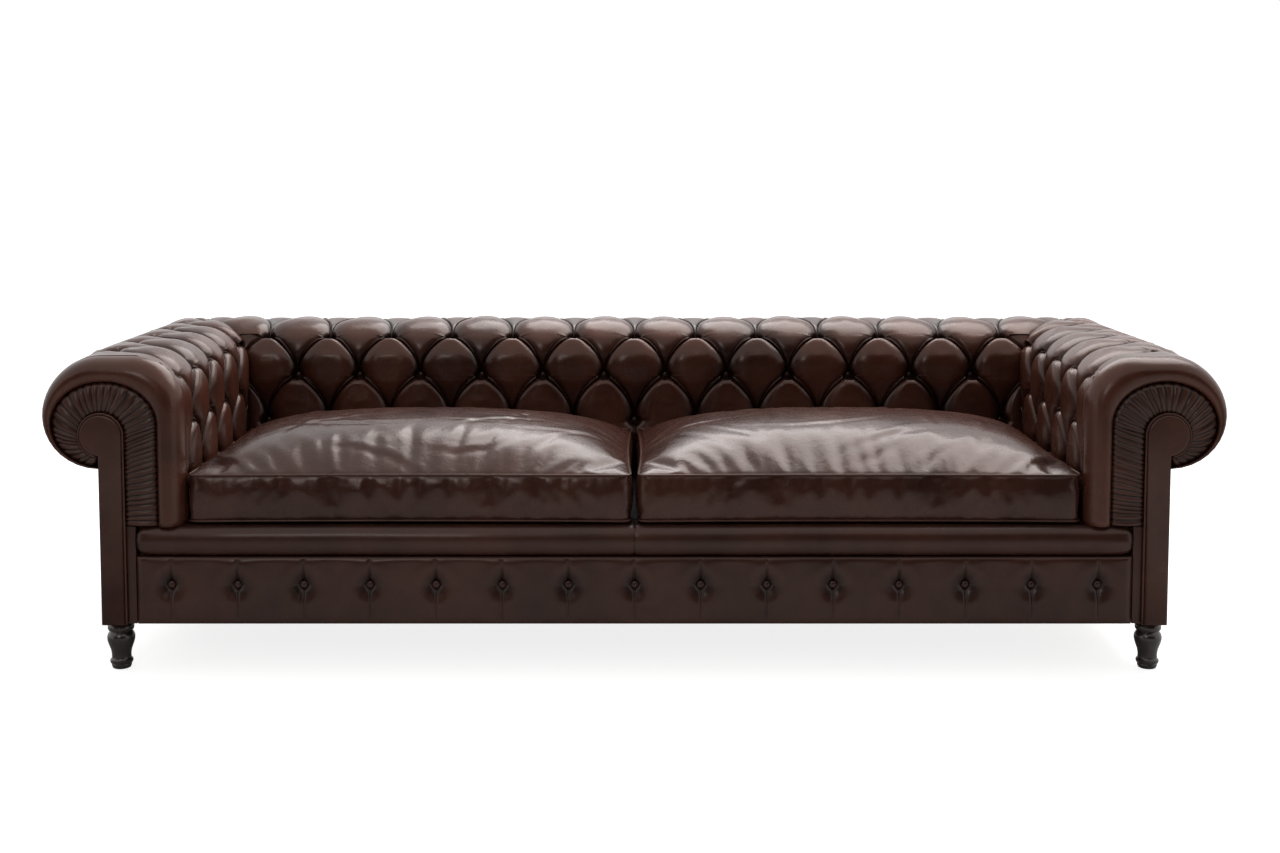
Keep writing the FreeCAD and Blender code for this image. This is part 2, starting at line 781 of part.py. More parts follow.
def webbing():
    """Straps along the seat, and straps from front to back over them."""
    reach = HALF + RAIL_IN + RAIL_T
    formers = former_places()
    places = [(a + b) / 2 for a, b in zip(formers, formers[1:])]
    places += [formers[0] - STRAP_BEFORE, formers[-1] + STRAP_AFTER]
    long_straps = [
        box(-reach, reach, y - STRAP_W / 2, y + STRAP_W / 2, RAIL_TOP, END_RAIL_TOP)
        for y in places
    ]
    save("seat_webbing_long", *long_straps)
    cross_straps = []
    pitch = HALF * STRAP_SHARE
    count = int(HALF / pitch)
    front = BOARD_Y + STRAP_IN_FRONT
    back = BACK_IN + WALL - REAR_RAIL_SET - STRAP_IN_BACK
    for i in range(-count, count):
        x = (i + 0.5) * pitch
        cross_straps.append(box(
            x - STRAP_W / 2, x + STRAP_W / 2, front, back, END_RAIL_TOP, END_RAIL_TOP + STRAP_T
        ))
    save("seat_webbing_cross", *cross_straps)


def deck():
    side = HALF + PAD - CLEAR
    front = FRONT + LIP_DEEP + CLEAR
    return box(-side, side, front, BACK_IN + PAD - CLEAR, DECK_UNDER, SEAT_Z)


def edge_roll():
    """The padded lip: a rounded front, drawn in at its ends and at the seam in its middle."""
    tall = SEAT_Z - DECK_UNDER
    r = tall / 2
    middle = DECK_UNDER + r
    outline = [(FRONT + LIP_DEEP, -r)]
    for i in range(9):
        turn = math.radians(-90 + 22.5 * i)
        outline.append((FRONT + r - r * math.cos(turn), r * math.sin(turn)))
    outline.append((FRONT + LIP_DEEP, r))
    spans = LIP_ENDS + ((PANEL_HALF - 9, 1.0),)
    stations = [(-PANEL_HALF + d, k) for d, k in spans] + [(0.0, LIP_SEAM)]
    stations += [(PANEL_HALF - d, k) for d, k in reversed(spans)]
    rings = []
    for x, k in stations:
        centre = FRONT + LIP_DEEP
        rings.append([V(x, centre + (y - centre) * k, middle + h * k) for y, h in outline])
    return skin(rings)


def front_panel():
    """The buttoned panel over the front rail, with a pleat above and below each button."""
    crest_y = FRONT + PANEL_SET
    back_y = BOARD_Y
    per_pitch = 4
    reach = int(PANEL_HALF / (FRONT_PITCH / per_pitch) - 0.3)
    places = [-PANEL_HALF]
    places += [FRONT_PITCH / per_pitch * i for i in range(-reach, reach + 1)]
    places.append(PANEL_HALF)
    low = FOOT_HEIGHT
    high = LIP_LOW
    rows = [low, low + 14, FRONT_BUTTON_Z - 16, FRONT_BUTTON_Z, FRONT_BUTTON_Z + 16, high - 14, high]
    grid = []
    for x in places:
        column = x / FRONT_PITCH
        pillow = abs(math.sin(math.pi * column)) ** 0.5
        end = smooth((PANEL_HALF - abs(x)) / 12)
        line = []
        for z in rows:
            edge = smooth((z - low) / PANEL_EDGE) * smooth((high - z) / PANEL_EDGE) * end
            pit = max(0.0, 1 - math.hypot(x - FRONT_PITCH * round(column), z - FRONT_BUTTON_Z) / 26)
            depth = FRONT_CREASE * (1 - pillow) + (FRONT_PIT - FRONT_CREASE) * pit
            rounded = PANEL_ROUND * (1 - edge)
            line.append(V(x, crest_y + min(depth * edge + rounded, PANEL_DEEPEST), z))
        grid.append(line)
    faces = patch(grid)
    left = [V(p.x, back_y, p.z) for p in (grid[0][0], grid[0][-1])]
    right = [V(p.x, back_y, p.z) for p in (grid[-1][0], grid[-1][-1])]
    faces.append(flat_face((left[0], left[1], right[1], right[0])))
    faces.append(flat_face(grid[0] + [left[1], left[0]]))
    faces.append(flat_face(grid[-1] + [right[1], right[0]]))
    faces.append(flat_face([line[0] for line in grid] + [right[0], left[0]]))
    faces.append(flat_face([line[-1] for line in grid] + [right[1], left[1]]))
    return solid_of(faces)


def front_buttons():
    buttons = []
    half = FRONT_BUTTONS // 2
    y = FRONT + PANEL_SET + FRONT_PIT - FRONT_PIT_SLOPE * SHANK_R - CLEAR
    for i in range(-half, half + 1):
        buttons.append(button(V(i * FRONT_PITCH, y, FRONT_BUTTON_Z), V(0, -1, 0)))
    return buttons


# Cushions

def cushion_corners():
    """Half sizes and centre of the left cushion at its seams, room left for its piping."""
    room = 2 * PIPING_R + CLEAR
    x_out = -HALF + 1 + room
    x_in = -CUSHION_GAP / 2 - room
    y_front = FRONT + CUSHION_FRONT + room
    y_back = BACK_IN - 1 - room
    centre = ((x_out + x_in) / 2, (y_front + y_back) / 2)
    return (x_in - x_out) / 2, (y_back - y_front) / 2, centre


def cushion_ring(inset, draw, radius, z):
    """The cushion's outline at a height, as points: round corners, and sides drawn in."""
    a, b, (cx, cy) = cushion_corners()
    a -= inset
    b -= inset
    ring = []
    for start, cx0, cy0 in ((0, a, b), (90, -a, b), (180, -a, -b), (270, a, -b)):
        mid_x = cx + cx0 - math.copysign(radius, cx0)
        mid_y = cy + cy0 - math.copysign(radius, cy0)
        for turn in (0, 45, 90):
            angle = math.radians(start + turn)
            ring.append(V(mid_x + radius * math.cos(angle), mid_y + radius * math.sin(angle), z))
        along_x = start in (0, 180)
        half = (a if along_x else b) - radius
        for k in range(1, 4):
            t = 1 - k / 2
            inward = draw * (1 - t * t)
            if along_x:
                side = math.copysign(1, cy0)
                ring.append(V(cx + side * half * t, cy + cy0 - side * inward, z))
            else:
                side = math.copysign(1, cx0)
                ring.append(V(cx + cx0 - side * inward, cy - side * half * t, z))
    return ring


def cushion():
    """A feather cushion: flat below, a straight border between its seams and a high crown."""
    half = cushion_corners()[1]
    low = CUSHION_SEAM_LOW + BORDER_ROUND
    high = CUSHION_SEAM_HIGH - BORDER_ROUND
    levels = [
        (0.08 * half, DRAWN_IN, SEAM_CORNER + 12, SEAT_Z + CLEAR),
        (0, DRAWN_IN, SEAM_CORNER, CUSHION_SEAM_LOW),
        (-BORDER_OUT, DRAWN_IN - 1, SEAM_CORNER + 2, low),
        (-BORDER_OUT, DRAWN_IN - 1, SEAM_CORNER + 2, high),
        (0, DRAWN_IN, SEAM_CORNER, CUSHION_SEAM_HIGH),
    ]
    rise = CUSHION_CROWN - CUSHION_SEAM_HIGH
    for share, up in CROWN_LEVELS:
        corner = SEAM_CORNER + 0.9 * share * (half - SEAM_CORNER) * (1 - share)
        levels.append((share * half, DRAWN_IN, corner, CUSHION_SEAM_HIGH + rise * up))
    corner = CROWN_CORNER * half * (1 - CROWN_TOP)
    levels.append((CROWN_TOP * half, 2, corner, CUSHION_CROWN))
    return skin([cushion_ring(*level) for level in levels])


def cushion_piping():
    """The two piped seams, above and below the border."""
    off = PIPING_R + CLEAR
    loops = []
    for z in (CUSHION_SEAM_LOW, CUSHION_SEAM_HIGH):
        loops.append(tube(cushion_ring(-off, DRAWN_IN, SEAM_CORNER + off, z), PIPING_R, True))
    return loops


# Feet

def foot(x, y):
    """A turned foot: a small toe, a vase body and a bead under the block, bored for its bolt."""
    toe = ((0, 0), (18, 0), (24.5, 8), (24.5, 18), (21.5, 25), (21.4, 35))
    vase = ((29.5, 62), (30.7, 70), (25, 85))
    bead = ((28.6, 91), (28.6, 101), (25, 107), (25, FOOT_HEIGHT), (0, FOOT_HEIGHT), (0, 0))
    outline = [V(r, 0, z) for r, z in toe + vase + bead]
    solid = Part.Face(Part.makePolygon(outline)).revolve(V(0, 0, 0), V(0, 0, 1), 360)
    deep = BOLT_IN_FOOT + 5
    solid = solid.cut(Part.makeCylinder(BOLT_R + BOLT_ROOM, deep, V(0, 0, FOOT_HEIGHT - deep)))
    solid.translate(V(x, y, 0))
    return solid


def feet():
    places = foot_places()
    save("front_feet", *[foot(x, y) for x, y in places[:2]])
    save("rear_feet", *[foot(x, y) for x, y in places[2:]])
    length = BOLT_IN_FOOT + BLOCK_H - 5
    save("foot_bolts", *[
        Part.makeCylinder(BOLT_R, length, V(x, y, FOOT_HEIGHT - BOLT_IN_FOOT)) for x, y in places
    ])


def outside_panels():
    out = -HALF - PANEL_W
    top = ROLL_Z - ROLL_R + PAD - PANEL_LAP
    side = box(
        out, out + PANEL_T, BOARD_Y + BOARD_T, BACK_IN + PANEL_W, FOOT_HEIGHT, top
    )
    save_pair("outside_arm", side)
    half = HALF + PANEL_W - PANEL_T
    y = BACK_IN + PANEL_W
    save("outside_back", box(-half, half, y - PANEL_T, y, FOOT_HEIGHT, top))


def dust_cover():
    side = HALF + RAIL_IN - COVER_SET
    back = BACK_IN + WALL - COVER_BACK
    return box(-side, side, FRONT + COVER_FRONT, back, FOOT_HEIGHT - COVER_T, FOOT_HEIGHT)


def build():
    os.makedirs("parts", exist_ok=True)
    feet()
    seat_frame()
    upper_frame()
    side_rails_frame()
    webbing()
    outside_panels()
    save("seat_deck", deck())
    save("front_edge_roll", edge_roll())
    save("front_panel", front_panel())
    save("front_panel_buttons", *front_buttons())
    save("dust_cover", dust_cover())
    save_pair("arm_pad", arm_pad())
    save("back_pad", back_pad())
    buttons = arm_buttons()
    save("left_arm_buttons", *buttons)
    save("right_arm_buttons", *[mirrored(b) for b in buttons])
    save("back_buttons", *back_buttons())
    save_pair("arm_collar", collar())
    save_pair("pleated_facing", pleated_facing())
    save_pair("post_facing", post_facing())
    save_pair("post_piping", post_piping())
    save_pair("rail_end_strip", rail_end_strip())
    save_pair("seat_cushion", cushion())
    loops = cushion_piping()
    save("left_cushion_piping", *loops)
    save("right_cushion_piping", *[mirrored(p) for p in loops])


build()
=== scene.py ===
# %% [markdown]
# # A chesterfield sofa in tufted leather
# The construction comes first, as a fixed frame: every timber, strap and pad at its real size.
# This file puts the upholstery over it. A real sofa is made in the same order: the frame is
# built and webbed, then the pads are buttoned, the arm fronts are pleated, and the loose
# cushions are sewn and filled.

# %% Load the construction
import math

import bmesh
import bpy
import numpy as np
from mathutils import Matrix, Vector


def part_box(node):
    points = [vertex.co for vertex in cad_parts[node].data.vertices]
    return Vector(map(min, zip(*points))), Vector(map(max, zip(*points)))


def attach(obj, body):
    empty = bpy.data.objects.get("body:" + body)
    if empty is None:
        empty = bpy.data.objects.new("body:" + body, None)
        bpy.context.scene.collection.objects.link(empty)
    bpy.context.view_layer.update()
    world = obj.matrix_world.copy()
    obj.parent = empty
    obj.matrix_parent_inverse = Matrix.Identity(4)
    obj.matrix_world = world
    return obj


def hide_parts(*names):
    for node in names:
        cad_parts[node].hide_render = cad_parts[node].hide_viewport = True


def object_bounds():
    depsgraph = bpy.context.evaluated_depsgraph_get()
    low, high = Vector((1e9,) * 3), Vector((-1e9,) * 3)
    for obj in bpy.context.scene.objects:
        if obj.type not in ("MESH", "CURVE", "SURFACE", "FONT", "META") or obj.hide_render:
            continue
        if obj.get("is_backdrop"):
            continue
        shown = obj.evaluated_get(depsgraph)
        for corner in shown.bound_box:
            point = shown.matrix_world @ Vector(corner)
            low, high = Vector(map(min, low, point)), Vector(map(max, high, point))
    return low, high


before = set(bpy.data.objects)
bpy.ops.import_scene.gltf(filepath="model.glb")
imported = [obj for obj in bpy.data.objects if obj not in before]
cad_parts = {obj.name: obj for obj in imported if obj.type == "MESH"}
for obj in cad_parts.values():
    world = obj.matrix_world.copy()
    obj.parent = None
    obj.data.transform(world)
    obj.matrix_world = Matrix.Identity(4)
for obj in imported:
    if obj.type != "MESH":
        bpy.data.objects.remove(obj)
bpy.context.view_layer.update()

bpy.ops.object.select_all(action="DESELECT")
MM = 0.001
HAIR = 1e-6              # what rounding may add to a place
SIDES = (("left", -1), ("right", 1))

# %% [markdown]
# ## The measures that everything follows
# The pads show the sizes: where their inner faces stand, how high the crest is and how far
# the roll reaches. They are read from the frame, so that the upholstery fits it by itself.
# Only the two radii of the section are written here, as the frame doesn't name them.

# %% Measures taken from the frame
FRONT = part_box("left_arm_collar")[0].y
HALF = -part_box("left_arm_collar")[1].x
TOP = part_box("back_pad")[1].z
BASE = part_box("left_arm_pad")[0].z
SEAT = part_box("seat_deck")[1].z
FOOT_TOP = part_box("front_feet")[1].z
ROLL_R = 126 * MM
SHOULDER_R = 112 * MM
REACH = -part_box("left_arm_pad")[0].x
WALL = REACH - HALF - ROLL_R
BACK_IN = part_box("back_pad")[1].y - WALL - ROLL_R
RISE = TOP - SHOULDER_R - BASE
ARC_IN = SHOULDER_R * math.pi / 2
FLAT = WALL - SHOULDER_R
SECTION = RISE + ARC_IN + FLAT + ROLL_R * math.pi
ROLL_START = SECTION - ROLL_R * math.pi
print("section", round(SECTION, 4), "wall", round(WALL, 4), "back at", round(BACK_IN, 4))

# %% [markdown]
# ## The camera
# The photograph was taken level with the middle of the sofa, from about chest height and far
# enough back that the arms hardly lean. A lens of 47 mm on a 36 mm sensor gives that
# perspective. The camera looks slightly down, and a small shift does the rest of the framing.

# %% Camera
CAMERA_PLACE = (0.0, -4.095, 1.153)
CAMERA_DOWN = 4.5


def link(thing):
    """Put a new object into the scene."""
    bpy.context.scene.collection.objects.link(thing)
    return thing


camera_data = bpy.data.cameras.new("camera")
camera_data.lens = 46.59
camera_data.sensor_width = 36.0
camera_data.shift_x = 0.0043
camera_data.shift_y = -0.1101
camera = link(bpy.data.objects.new("camera", camera_data))
camera.location = CAMERA_PLACE
camera.rotation_euler = (math.radians(90 - CAMERA_DOWN), 0.0, 0.0)
bpy.context.scene.camera = camera
print("camera", CAMERA_PLACE, "looking down", CAMERA_DOWN)

# %% [markdown]
# ## Finishes
# A material is a small graph of nodes. One function adds a node, sets its values and links
# its inputs, and one function turns a written colour into the linear light that a shader
# works with. Every finish below is built with these two.

# %% Helpers for finishes
def linear(hex_colour):
    """The linear colour of an sRGB hex value."""
    channels = [int(hex_colour[i:i + 2], 16) / 255 for i in (1, 3, 5)]
    return [c / 12.92 if c <= 0.04045 else ((c + 0.055) / 1.055) ** 2.4 for c in channels] + [1.0]


def add_node(material, kind, settings=(), **inputs):
    """Add a node. settings are its own values, inputs are values or sockets to link.

    An input is written with _ for each space of its name, or as _ and its number.
    """
    tree = material.node_tree
    node = tree.nodes.new("ShaderNode" + kind)
    for name, value in dict(settings).items():
        setattr(node, name, value)
    for name, value in inputs.items():
        numbered = name[1:].isdigit()
        socket = node.inputs[int(name[1:])] if numbered else node.inputs[name.replace("_", " ")]
        if isinstance(value, bpy.types.NodeSocket):
            tree.links.new(value, socket)
        else:
            socket.default_value = value
    return node


def new_material(name):
    material = bpy.data.materials.new(name)
    material.use_nodes = True
    material.node_tree.nodes.clear()
    return material


def place_on(material):
    """The place on the object that textures follow."""
    return add_node(material, "TexCoord").outputs["Object"]


def close_material(material, shader):
    add_node(material, "OutputMaterial", Surface=shader.outputs[0])
    return material


def noise(material, place, scale, detail, **more):
    """A cloudy pattern with values from 0 to 1."""
    return add_node(material, "TexNoise", Vector=place, Scale=scale, Detail=detail,
                    **more).outputs["Fac"]


def blend(material, factor, dark, light):
    """A colour between two sRGB hex values."""
    mix = add_node(material, "Mix", {"data_type": "RGBA"}, Factor=factor,
                   _6=linear(dark), _7=linear(light))
    return mix.outputs[2]


# %% [markdown]
# ### Aniline leather
# Chesterfield hide is soaked with dye and waxed, and it shines softly. Its colour strays at
# random from a dark tone to a lighter, redder one, and it is painted darker in its folds and
# pits as painted shade, so it is lighter where it is stretched over padding. Its grain is a
# net of fine creases about a millimetre apart, with long soft folds where the hide is slack.
# An attribute on the meshes holds that painted shade: 0 on top of a pad and 1 in its creases.

# %% Leather
GRAIN = 1.3 * MM          # width of one pebble of the grain
FOLDS = 24 * MM           # width of the soft creases in slack hide
PATCHY = 0.07             # how far the roughness strays to either side


def leather(name, deep, worn, roughness=0.34, grain=0.08, folds=0.14):
    """Dyed and waxed hide between a dark and a rubbed colour, with painted shade in its creases.
    """
    m = new_material(name)
    place = place_on(m)
    cloud = noise(m, place, 7.0, 5.0, Roughness=0.6)
    # Painted shade: this attribute, 1 in creases and pits, pulls the colour to the dark tone.
    crease_shade = add_node(m, "Attribute", {"attribute_name": "crease_shade"})
    raised = add_node(m, "Math", {"operation": "SUBTRACT"}, _0=cloud,
                      _1=crease_shade.outputs["Fac"])
    share = add_node(m, "MapRange", Value=raised.outputs[0], From_Min=0.1, From_Max=0.75)
    pebbles = add_node(m, "TexVoronoi", {"feature": "DISTANCE_TO_EDGE"}, Vector=place,
                       Scale=1 / GRAIN, Randomness=1.0)
    edge = add_node(m, "MapRange", Value=pebbles.outputs["Distance"], From_Max=0.12)
    slack = noise(m, place, 1 / FOLDS, 6.0, Roughness=0.55, Distortion=0.9)
    soft = add_node(m, "Bump", Height=slack, Strength=folds, Distance=4 * MM)
    bump = add_node(m, "Bump", Height=edge.outputs[0], Strength=grain, Distance=0.4 * MM,
                    Normal=soft.outputs[0])
    rough = add_node(m, "MapRange", Value=noise(m, place, 23.0, 4.0), To_Min=roughness - PATCHY,
                     To_Max=roughness + PATCHY)
    shader = add_node(m, "BsdfPrincipled", Base_Color=blend(m, share.outputs[0], deep, worn),
                      Roughness=rough.outputs[0], Normal=bump.outputs[0], IOR=1.5,
                      Specular_IOR_Level=0.36, Specular_Tint=linear("#ffe3d6"),
                      Coat_Weight=0.16, Coat_Roughness=0.16)
    return close_material(m, shader)


# The finish of each material slot
FINISHES = {
    "leather": leather("aniline_leather_pads", "#1f0f0b", "#5d3529", 0.29),
    "cushion_leather": leather("aniline_leather_cushions", "#1e100d", "#4e2e26", 0.27, 0.05, 0.22),
    "facing_leather": leather("aniline_leather_pleats", "#1e0f0b", "#533228"),
    "panel_leather": leather("aniline_leather_panels", "#1b0e0b", "#482a22"),
    "piping_leather": leather("aniline_leather_piping", "#21110d", "#58352a"),
    "button_leather": leather("aniline_leather_buttons", "#180c09", "#40261f", 0.33),
}
print(len(FINISHES), "cuts of leather")

# %% [markdown]
# ### Wood, webbing and cloth
# The feet are turned beech, stained nearly black-brown and lacquered. The frame inside is
# plain beech, held to its feet by plated bolts. The seat is carried by jute webbing and
# covered with black deck cloth, and the underside is closed with a thin black felt.

# %% Wood, cloth and steel
RING = 9 * MM             # width of one growth ring


def wood(name, dark, light, roughness, lacquer):
    """Straight-grained timber with its rings stretched along the piece."""
    m = new_material(name)
    place = place_on(m)
    stretched = add_node(m, "Mapping", Vector=place, Scale=(1.0, 1.0, 0.12))
    rings = noise(m, stretched.outputs[0], 1 / RING, 8.0, Roughness=0.65, Distortion=0.4)
    bump = add_node(m, "Bump", Height=rings, Strength=0.1, Distance=0.3 * MM)
    shader = add_node(m, "BsdfPrincipled", Base_Color=blend(m, rings, dark, light),
                      Roughness=roughness, Normal=bump.outputs[0], IOR=1.5,
                      Coat_Weight=lacquer, Coat_Roughness=0.15)
    return close_material(m, shader)


def cloth(name, dark, light, thread):
    """Plain woven cloth, its threads square to each other and this far apart."""
    m = new_material(name)
    place = place_on(m)
    sides = [add_node(m, "TexWave", {"bands_direction": axis}, Vector=place,
                      Scale=math.pi / thread / 10, Distortion=0.4, Detail=1.0).outputs["Fac"]
             for axis in ("X", "Y")]
    weave = add_node(m, "Math", {"operation": "MULTIPLY"}, _0=sides[0], _1=sides[1]).outputs[0]
    bump = add_node(m, "Bump", Height=weave, Strength=0.5, Distance=thread / 4)
    shader = add_node(m, "BsdfPrincipled", Base_Color=blend(m, weave, dark, light),
                      Roughness=0.9, Normal=bump.outputs[0], Sheen_Weight=0.2)
    return close_material(m, shader)


def steel(name, dark, light):
    """Zinc-plated steel, drawn and slightly dull."""
    m = new_material(name)
    place = place_on(m)
    cloud = noise(m, place, 60.0, 3.0)
    shader = add_node(m, "BsdfPrincipled", Base_Color=blend(m, cloud, dark, light),
                      Metallic=1.0, Roughness=0.35)
    return close_material(m, shader)


FINISHES["turned_foot"] = wood("stained_beech", "#1b120f", "#3a2a24", 0.3, 0.5)
FINISHES["timber"] = wood("plain_beech", "#a07c52", "#c9a878", 0.6, 0.0)
FINISHES["webbing"] = cloth("jute_webbing", "#6b5230", "#b39566", 3 * MM)
FINISHES["deck_cloth"] = cloth("black_deck_cloth", "#100f0f", "#2b2826", 1.6 * MM)
FINISHES["dust_cloth"] = cloth("black_felt", "#0d0d0d", "#1f1e1e", 1.2 * MM)
FINISHES["steel"] = steel("zinc_plated_steel", "#8d9093", "#b9bcbe")
print(len(FINISHES), "finishes")

# %% [markdown]
# ### Finishes for the construction
# What stays hidden inside keeps its own shape from the frame and only gets its material, so
# that the sofa is also right when it is cut open or seen from below.

# %% Give the construction its finishes
HIDDEN = {"seat_webbing_long": "webbing", "seat_webbing_cross": "webbing", "foot_bolts": "steel"}
for node_name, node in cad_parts.items():
    node.data.materials.clear()
    node.data.materials.append(FINISHES[HIDDEN.get(node_name, "timber")])
print(len(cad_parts), "nodes of the construction have a finish")

# %% [markdown]
# ## Making meshes
# The tufted pads, pleats and rolls are soft goods whose shape follows a rule, so they are
# written as rows of points. One function turns rows into a closed mesh, and one gives the
# finished piece its body, its nodes and its finish.

# %% Helpers for meshes
MERGE = 0.02 * MM


def add_piece(name, points, edges, faces):
    """A piece from its points and its edges or faces."""
    mesh = bpy.data.meshes.new(name)
    mesh.from_pydata(points, edges, faces)
    return link(bpy.data.objects.new(name, mesh))


def tidy_mesh(piece):
    """Merge doubles, drop what collapsed, turn faces outwards and shade smooth."""
    work = bmesh.new()
    work.from_mesh(piece.data)
    bmesh.ops.remove_doubles(work, verts=work.verts, dist=MERGE)
    bmesh.ops.dissolve_degenerate(work, edges=work.edges, dist=MERGE / 2)
    bmesh.ops.recalc_face_normals(work, faces=work.faces)
    if work.calc_volume(signed=True) < 0:
        bmesh.ops.reverse_faces(work, faces=work.faces)
    work.to_mesh(piece.data)
    work.free()
    piece.data.shade_smooth()
    return piece


def mesh_of_rings(name, patches, crease_shades=None):
    """A closed mesh. Each patch is an array of rings of points, and neighbours share a ring."""
    points, faces, crease_shade, start = [], [], [], 0
    for k, patch in enumerate(patches):
        rows, count = patch.shape[:2]
        index = start + np.arange(rows * count).reshape(rows, count)
        after = np.roll(index, -1, axis=1)
        quads = np.stack([index[:-1], after[:-1], after[1:], index[1:]], axis=-1)
        points += patch.reshape(-1, 3).tolist()
        faces += quads.reshape(-1, 4).tolist()
        crease_shade.append(np.zeros(rows * count) if crease_shades is None else crease_shades[k].ravel())
        start += rows * count
    faces.append(list(range(patches[0].shape[1])))
    faces.append(list(range(start - patches[-1].shape[1], start))[::-1])
    piece = add_piece(name, points, [], faces)
    # This attribute is painted shade for the leather: 1 in creases and pits, 0 on top.
    piece.data.attributes.new("crease_shade", "FLOAT", "POINT").data.foreach_set(
        "value", np.concatenate(crease_shade).astype(np.float32))
    return tidy_mesh(piece)


def finish_piece(piece, slot, *nodes, fill=None, body="frame"):
    """Give a piece its body, the nodes that it stands for and its finish. fill is not used."""
    piece.data.materials.clear()
    piece.data.materials.append(FINISHES[slot])
    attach(piece, body)
    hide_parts(*nodes)
    print(piece.name, len(piece.data.polygons), "faces")


def smooth(t):
    """From 0 to 1 with a soft start and a soft end."""
    t = np.clip(t, 0.0, 1.0)
    return t * t * (3 - 2 * t)


def bell(distance, mm):
    """1 at no distance, and almost nothing from twice this many mm on."""
    return np.exp(-(distance / (mm * MM)) ** 2)


def fading(distance, mm):
    """1 at no distance, and about a third as much for each so many mm."""
    return np.exp(-distance / (mm * MM))


# %% [markdown]
# ## The section of the arms and the back
# Arms and back share one section: straight up from the seat, over a round shoulder, along a
# short flat crown, and down and under the outer roll. A place on it is given by s, the length
# along the leather from the seat. In front the arm is a little lower than behind.

# %% The section
FRONT_DROP = 8 * MM
DROP_LENGTH = 260 * MM


def crest(s):
    """Distance outside the inner face, height, and the outward normal, at s along the section."""
    turn_in = np.clip((s - RISE) / SHOULDER_R, 0, math.pi / 2)
    flat = np.clip(s - RISE - ARC_IN, 0, FLAT)
    turn_out = np.clip((s - ROLL_START) / ROLL_R, 0, math.pi)
    w = SHOULDER_R * (1 - np.cos(turn_in)) + flat + ROLL_R * np.sin(turn_out)
    z = BASE + np.clip(s, 0, RISE) + SHOULDER_R * np.sin(turn_in) - ROLL_R * (1 - np.cos(turn_out))
    turn = turn_in + turn_out
    return w, z, -np.cos(turn), np.sin(turn)


def arm_height(z, a):
    """A height on the arm, where a is how far behind the front plane it lies."""
    drop = FRONT_DROP * (1 - smooth(a / DROP_LENGTH))
    return z - drop * (z - BASE) / (TOP - BASE)


print("crest at the shoulder", [round(float(v), 3) for v in crest(RISE + ARC_IN)])

# %% [markdown]
# ## Deep buttoning
# Buttons pull the leather down in staggered rows, and the slack between them is laid in
# pleats that run from button to button and leave diamond-shaped pillows. Each pleat leaves
# its upper button sideways and comes to the lower one from above, so a pillow has a broad
# round top and a narrow foot. The mesh follows this: at every height the pleats' places are
# worked out first, and the points are spread between them, close together beside a pleat.
# In that way a pleat stays a thin dark line, which a plain displaced grid can't give.

# %% Sizes of the buttoning
PIT = 41 * MM             # how deep a button pulls the leather
PIT_FLAT = 6 * MM         # radius of a pit's flat bottom
PIT_SLOPE = 16 * MM       # width of the slope round it
PLEAT = 14 * MM           # depth of a pleat half way between two buttons
LOOSE_PLEAT = 10 * MM     # depth of the straight pleats past the last row
PUFF = 3.5 * MM           # how far a wide pillow stands proud
CORNER = 15 * MM          # depth of the crease where arm and back meet
INNER = 45 * MM           # depth of the pad's inner side
END_FADE = 14             # over this many mm a pleat takes the depth of the pad's end
BUTTON_CLEAR = 28 * MM    # no button is nearer to the pad's end
BOW = 2.0                 # how strongly a pleat bows out below its upper button
NEAR_MM = (0, 1.2, 2.6, 4.2, 6, 8, 10.5, 14, 20, 29, 41, 57, 80)
FOLD_MM = (0, -3.0, -6.0, -7.0, -7.2, -6.0, -1.5, 6.5, 2.0, 0, 0, 0, 0)
HALF_SPREAD = np.array(NEAR_MM) / (2 * NEAR_MM[-1])
SPREAD = np.concatenate([HALF_SPREAD, 1 - HALF_SPREAD[-2::-1]])
FOLD = np.array(FOLD_MM + FOLD_MM[-2::-1]) * MM
ARM_PITCH = 145 * MM
ARM_ODD = 153 * MM        # front plane to the first button of the second and fourth rows
ARM_ROWS = [r * MM for r in (100, 222, 343, 522.3)]
BACK_PITCH = 160 * MM
BACK_ROWS = [r * MM for r in (127, 246, 364, 586.3)]
print(len(SPREAD), "points from pleat to pleat")


# %% Depth between two pleats
def ease(t, power):
    """From 0 to 1 with a steep start, like the side of a stuffed pillow."""
    return (1 - (1 - np.clip(t, 0, 1)) ** power) ** (1 / power)


def corner_depth(s):
    """Depth of the crease between arm and back, with a pit where a button would be."""
    pulled = sum(bell(s - row, 26) for row in (ARM_ROWS[0], ARM_ROWS[2]))
    return (CORNER + (PIT - CORNER) * 0.7 * pulled) * smooth(s / (30 * MM) + 0.3)


def spread_between(places, depths, height, puffed):
    """Points between neighbouring pleats. places and depths are arrays of levels by pleats.

    height scales each pillow's rise by level and pillow, and puffed is its crown's depth.
    """
    left, right = places[:, :-1, None], places[:, 1:, None]
    along = left + (right - left) * SPREAD
    rise = np.minimum(ease(2 * SPREAD, 2.1), ease(2 * (1 - SPREAD), 2.1)) * height[:, :, None]
    low = depths[:, :-1, None] + (depths[:, 1:, None] - depths[:, :-1, None]) * smooth(SPREAD)
    return along, low * (1 - rise) + puffed[:, :, None] * rise


# %% [markdown]
# Beside the upper half of each pleat the leather is folded once more, and this shows as a
# second, finer line: a ridge along the pleat with a groove behind it, as FOLD says. Round
# each button lie small radial folds, and no two pillows are stuffed alike.

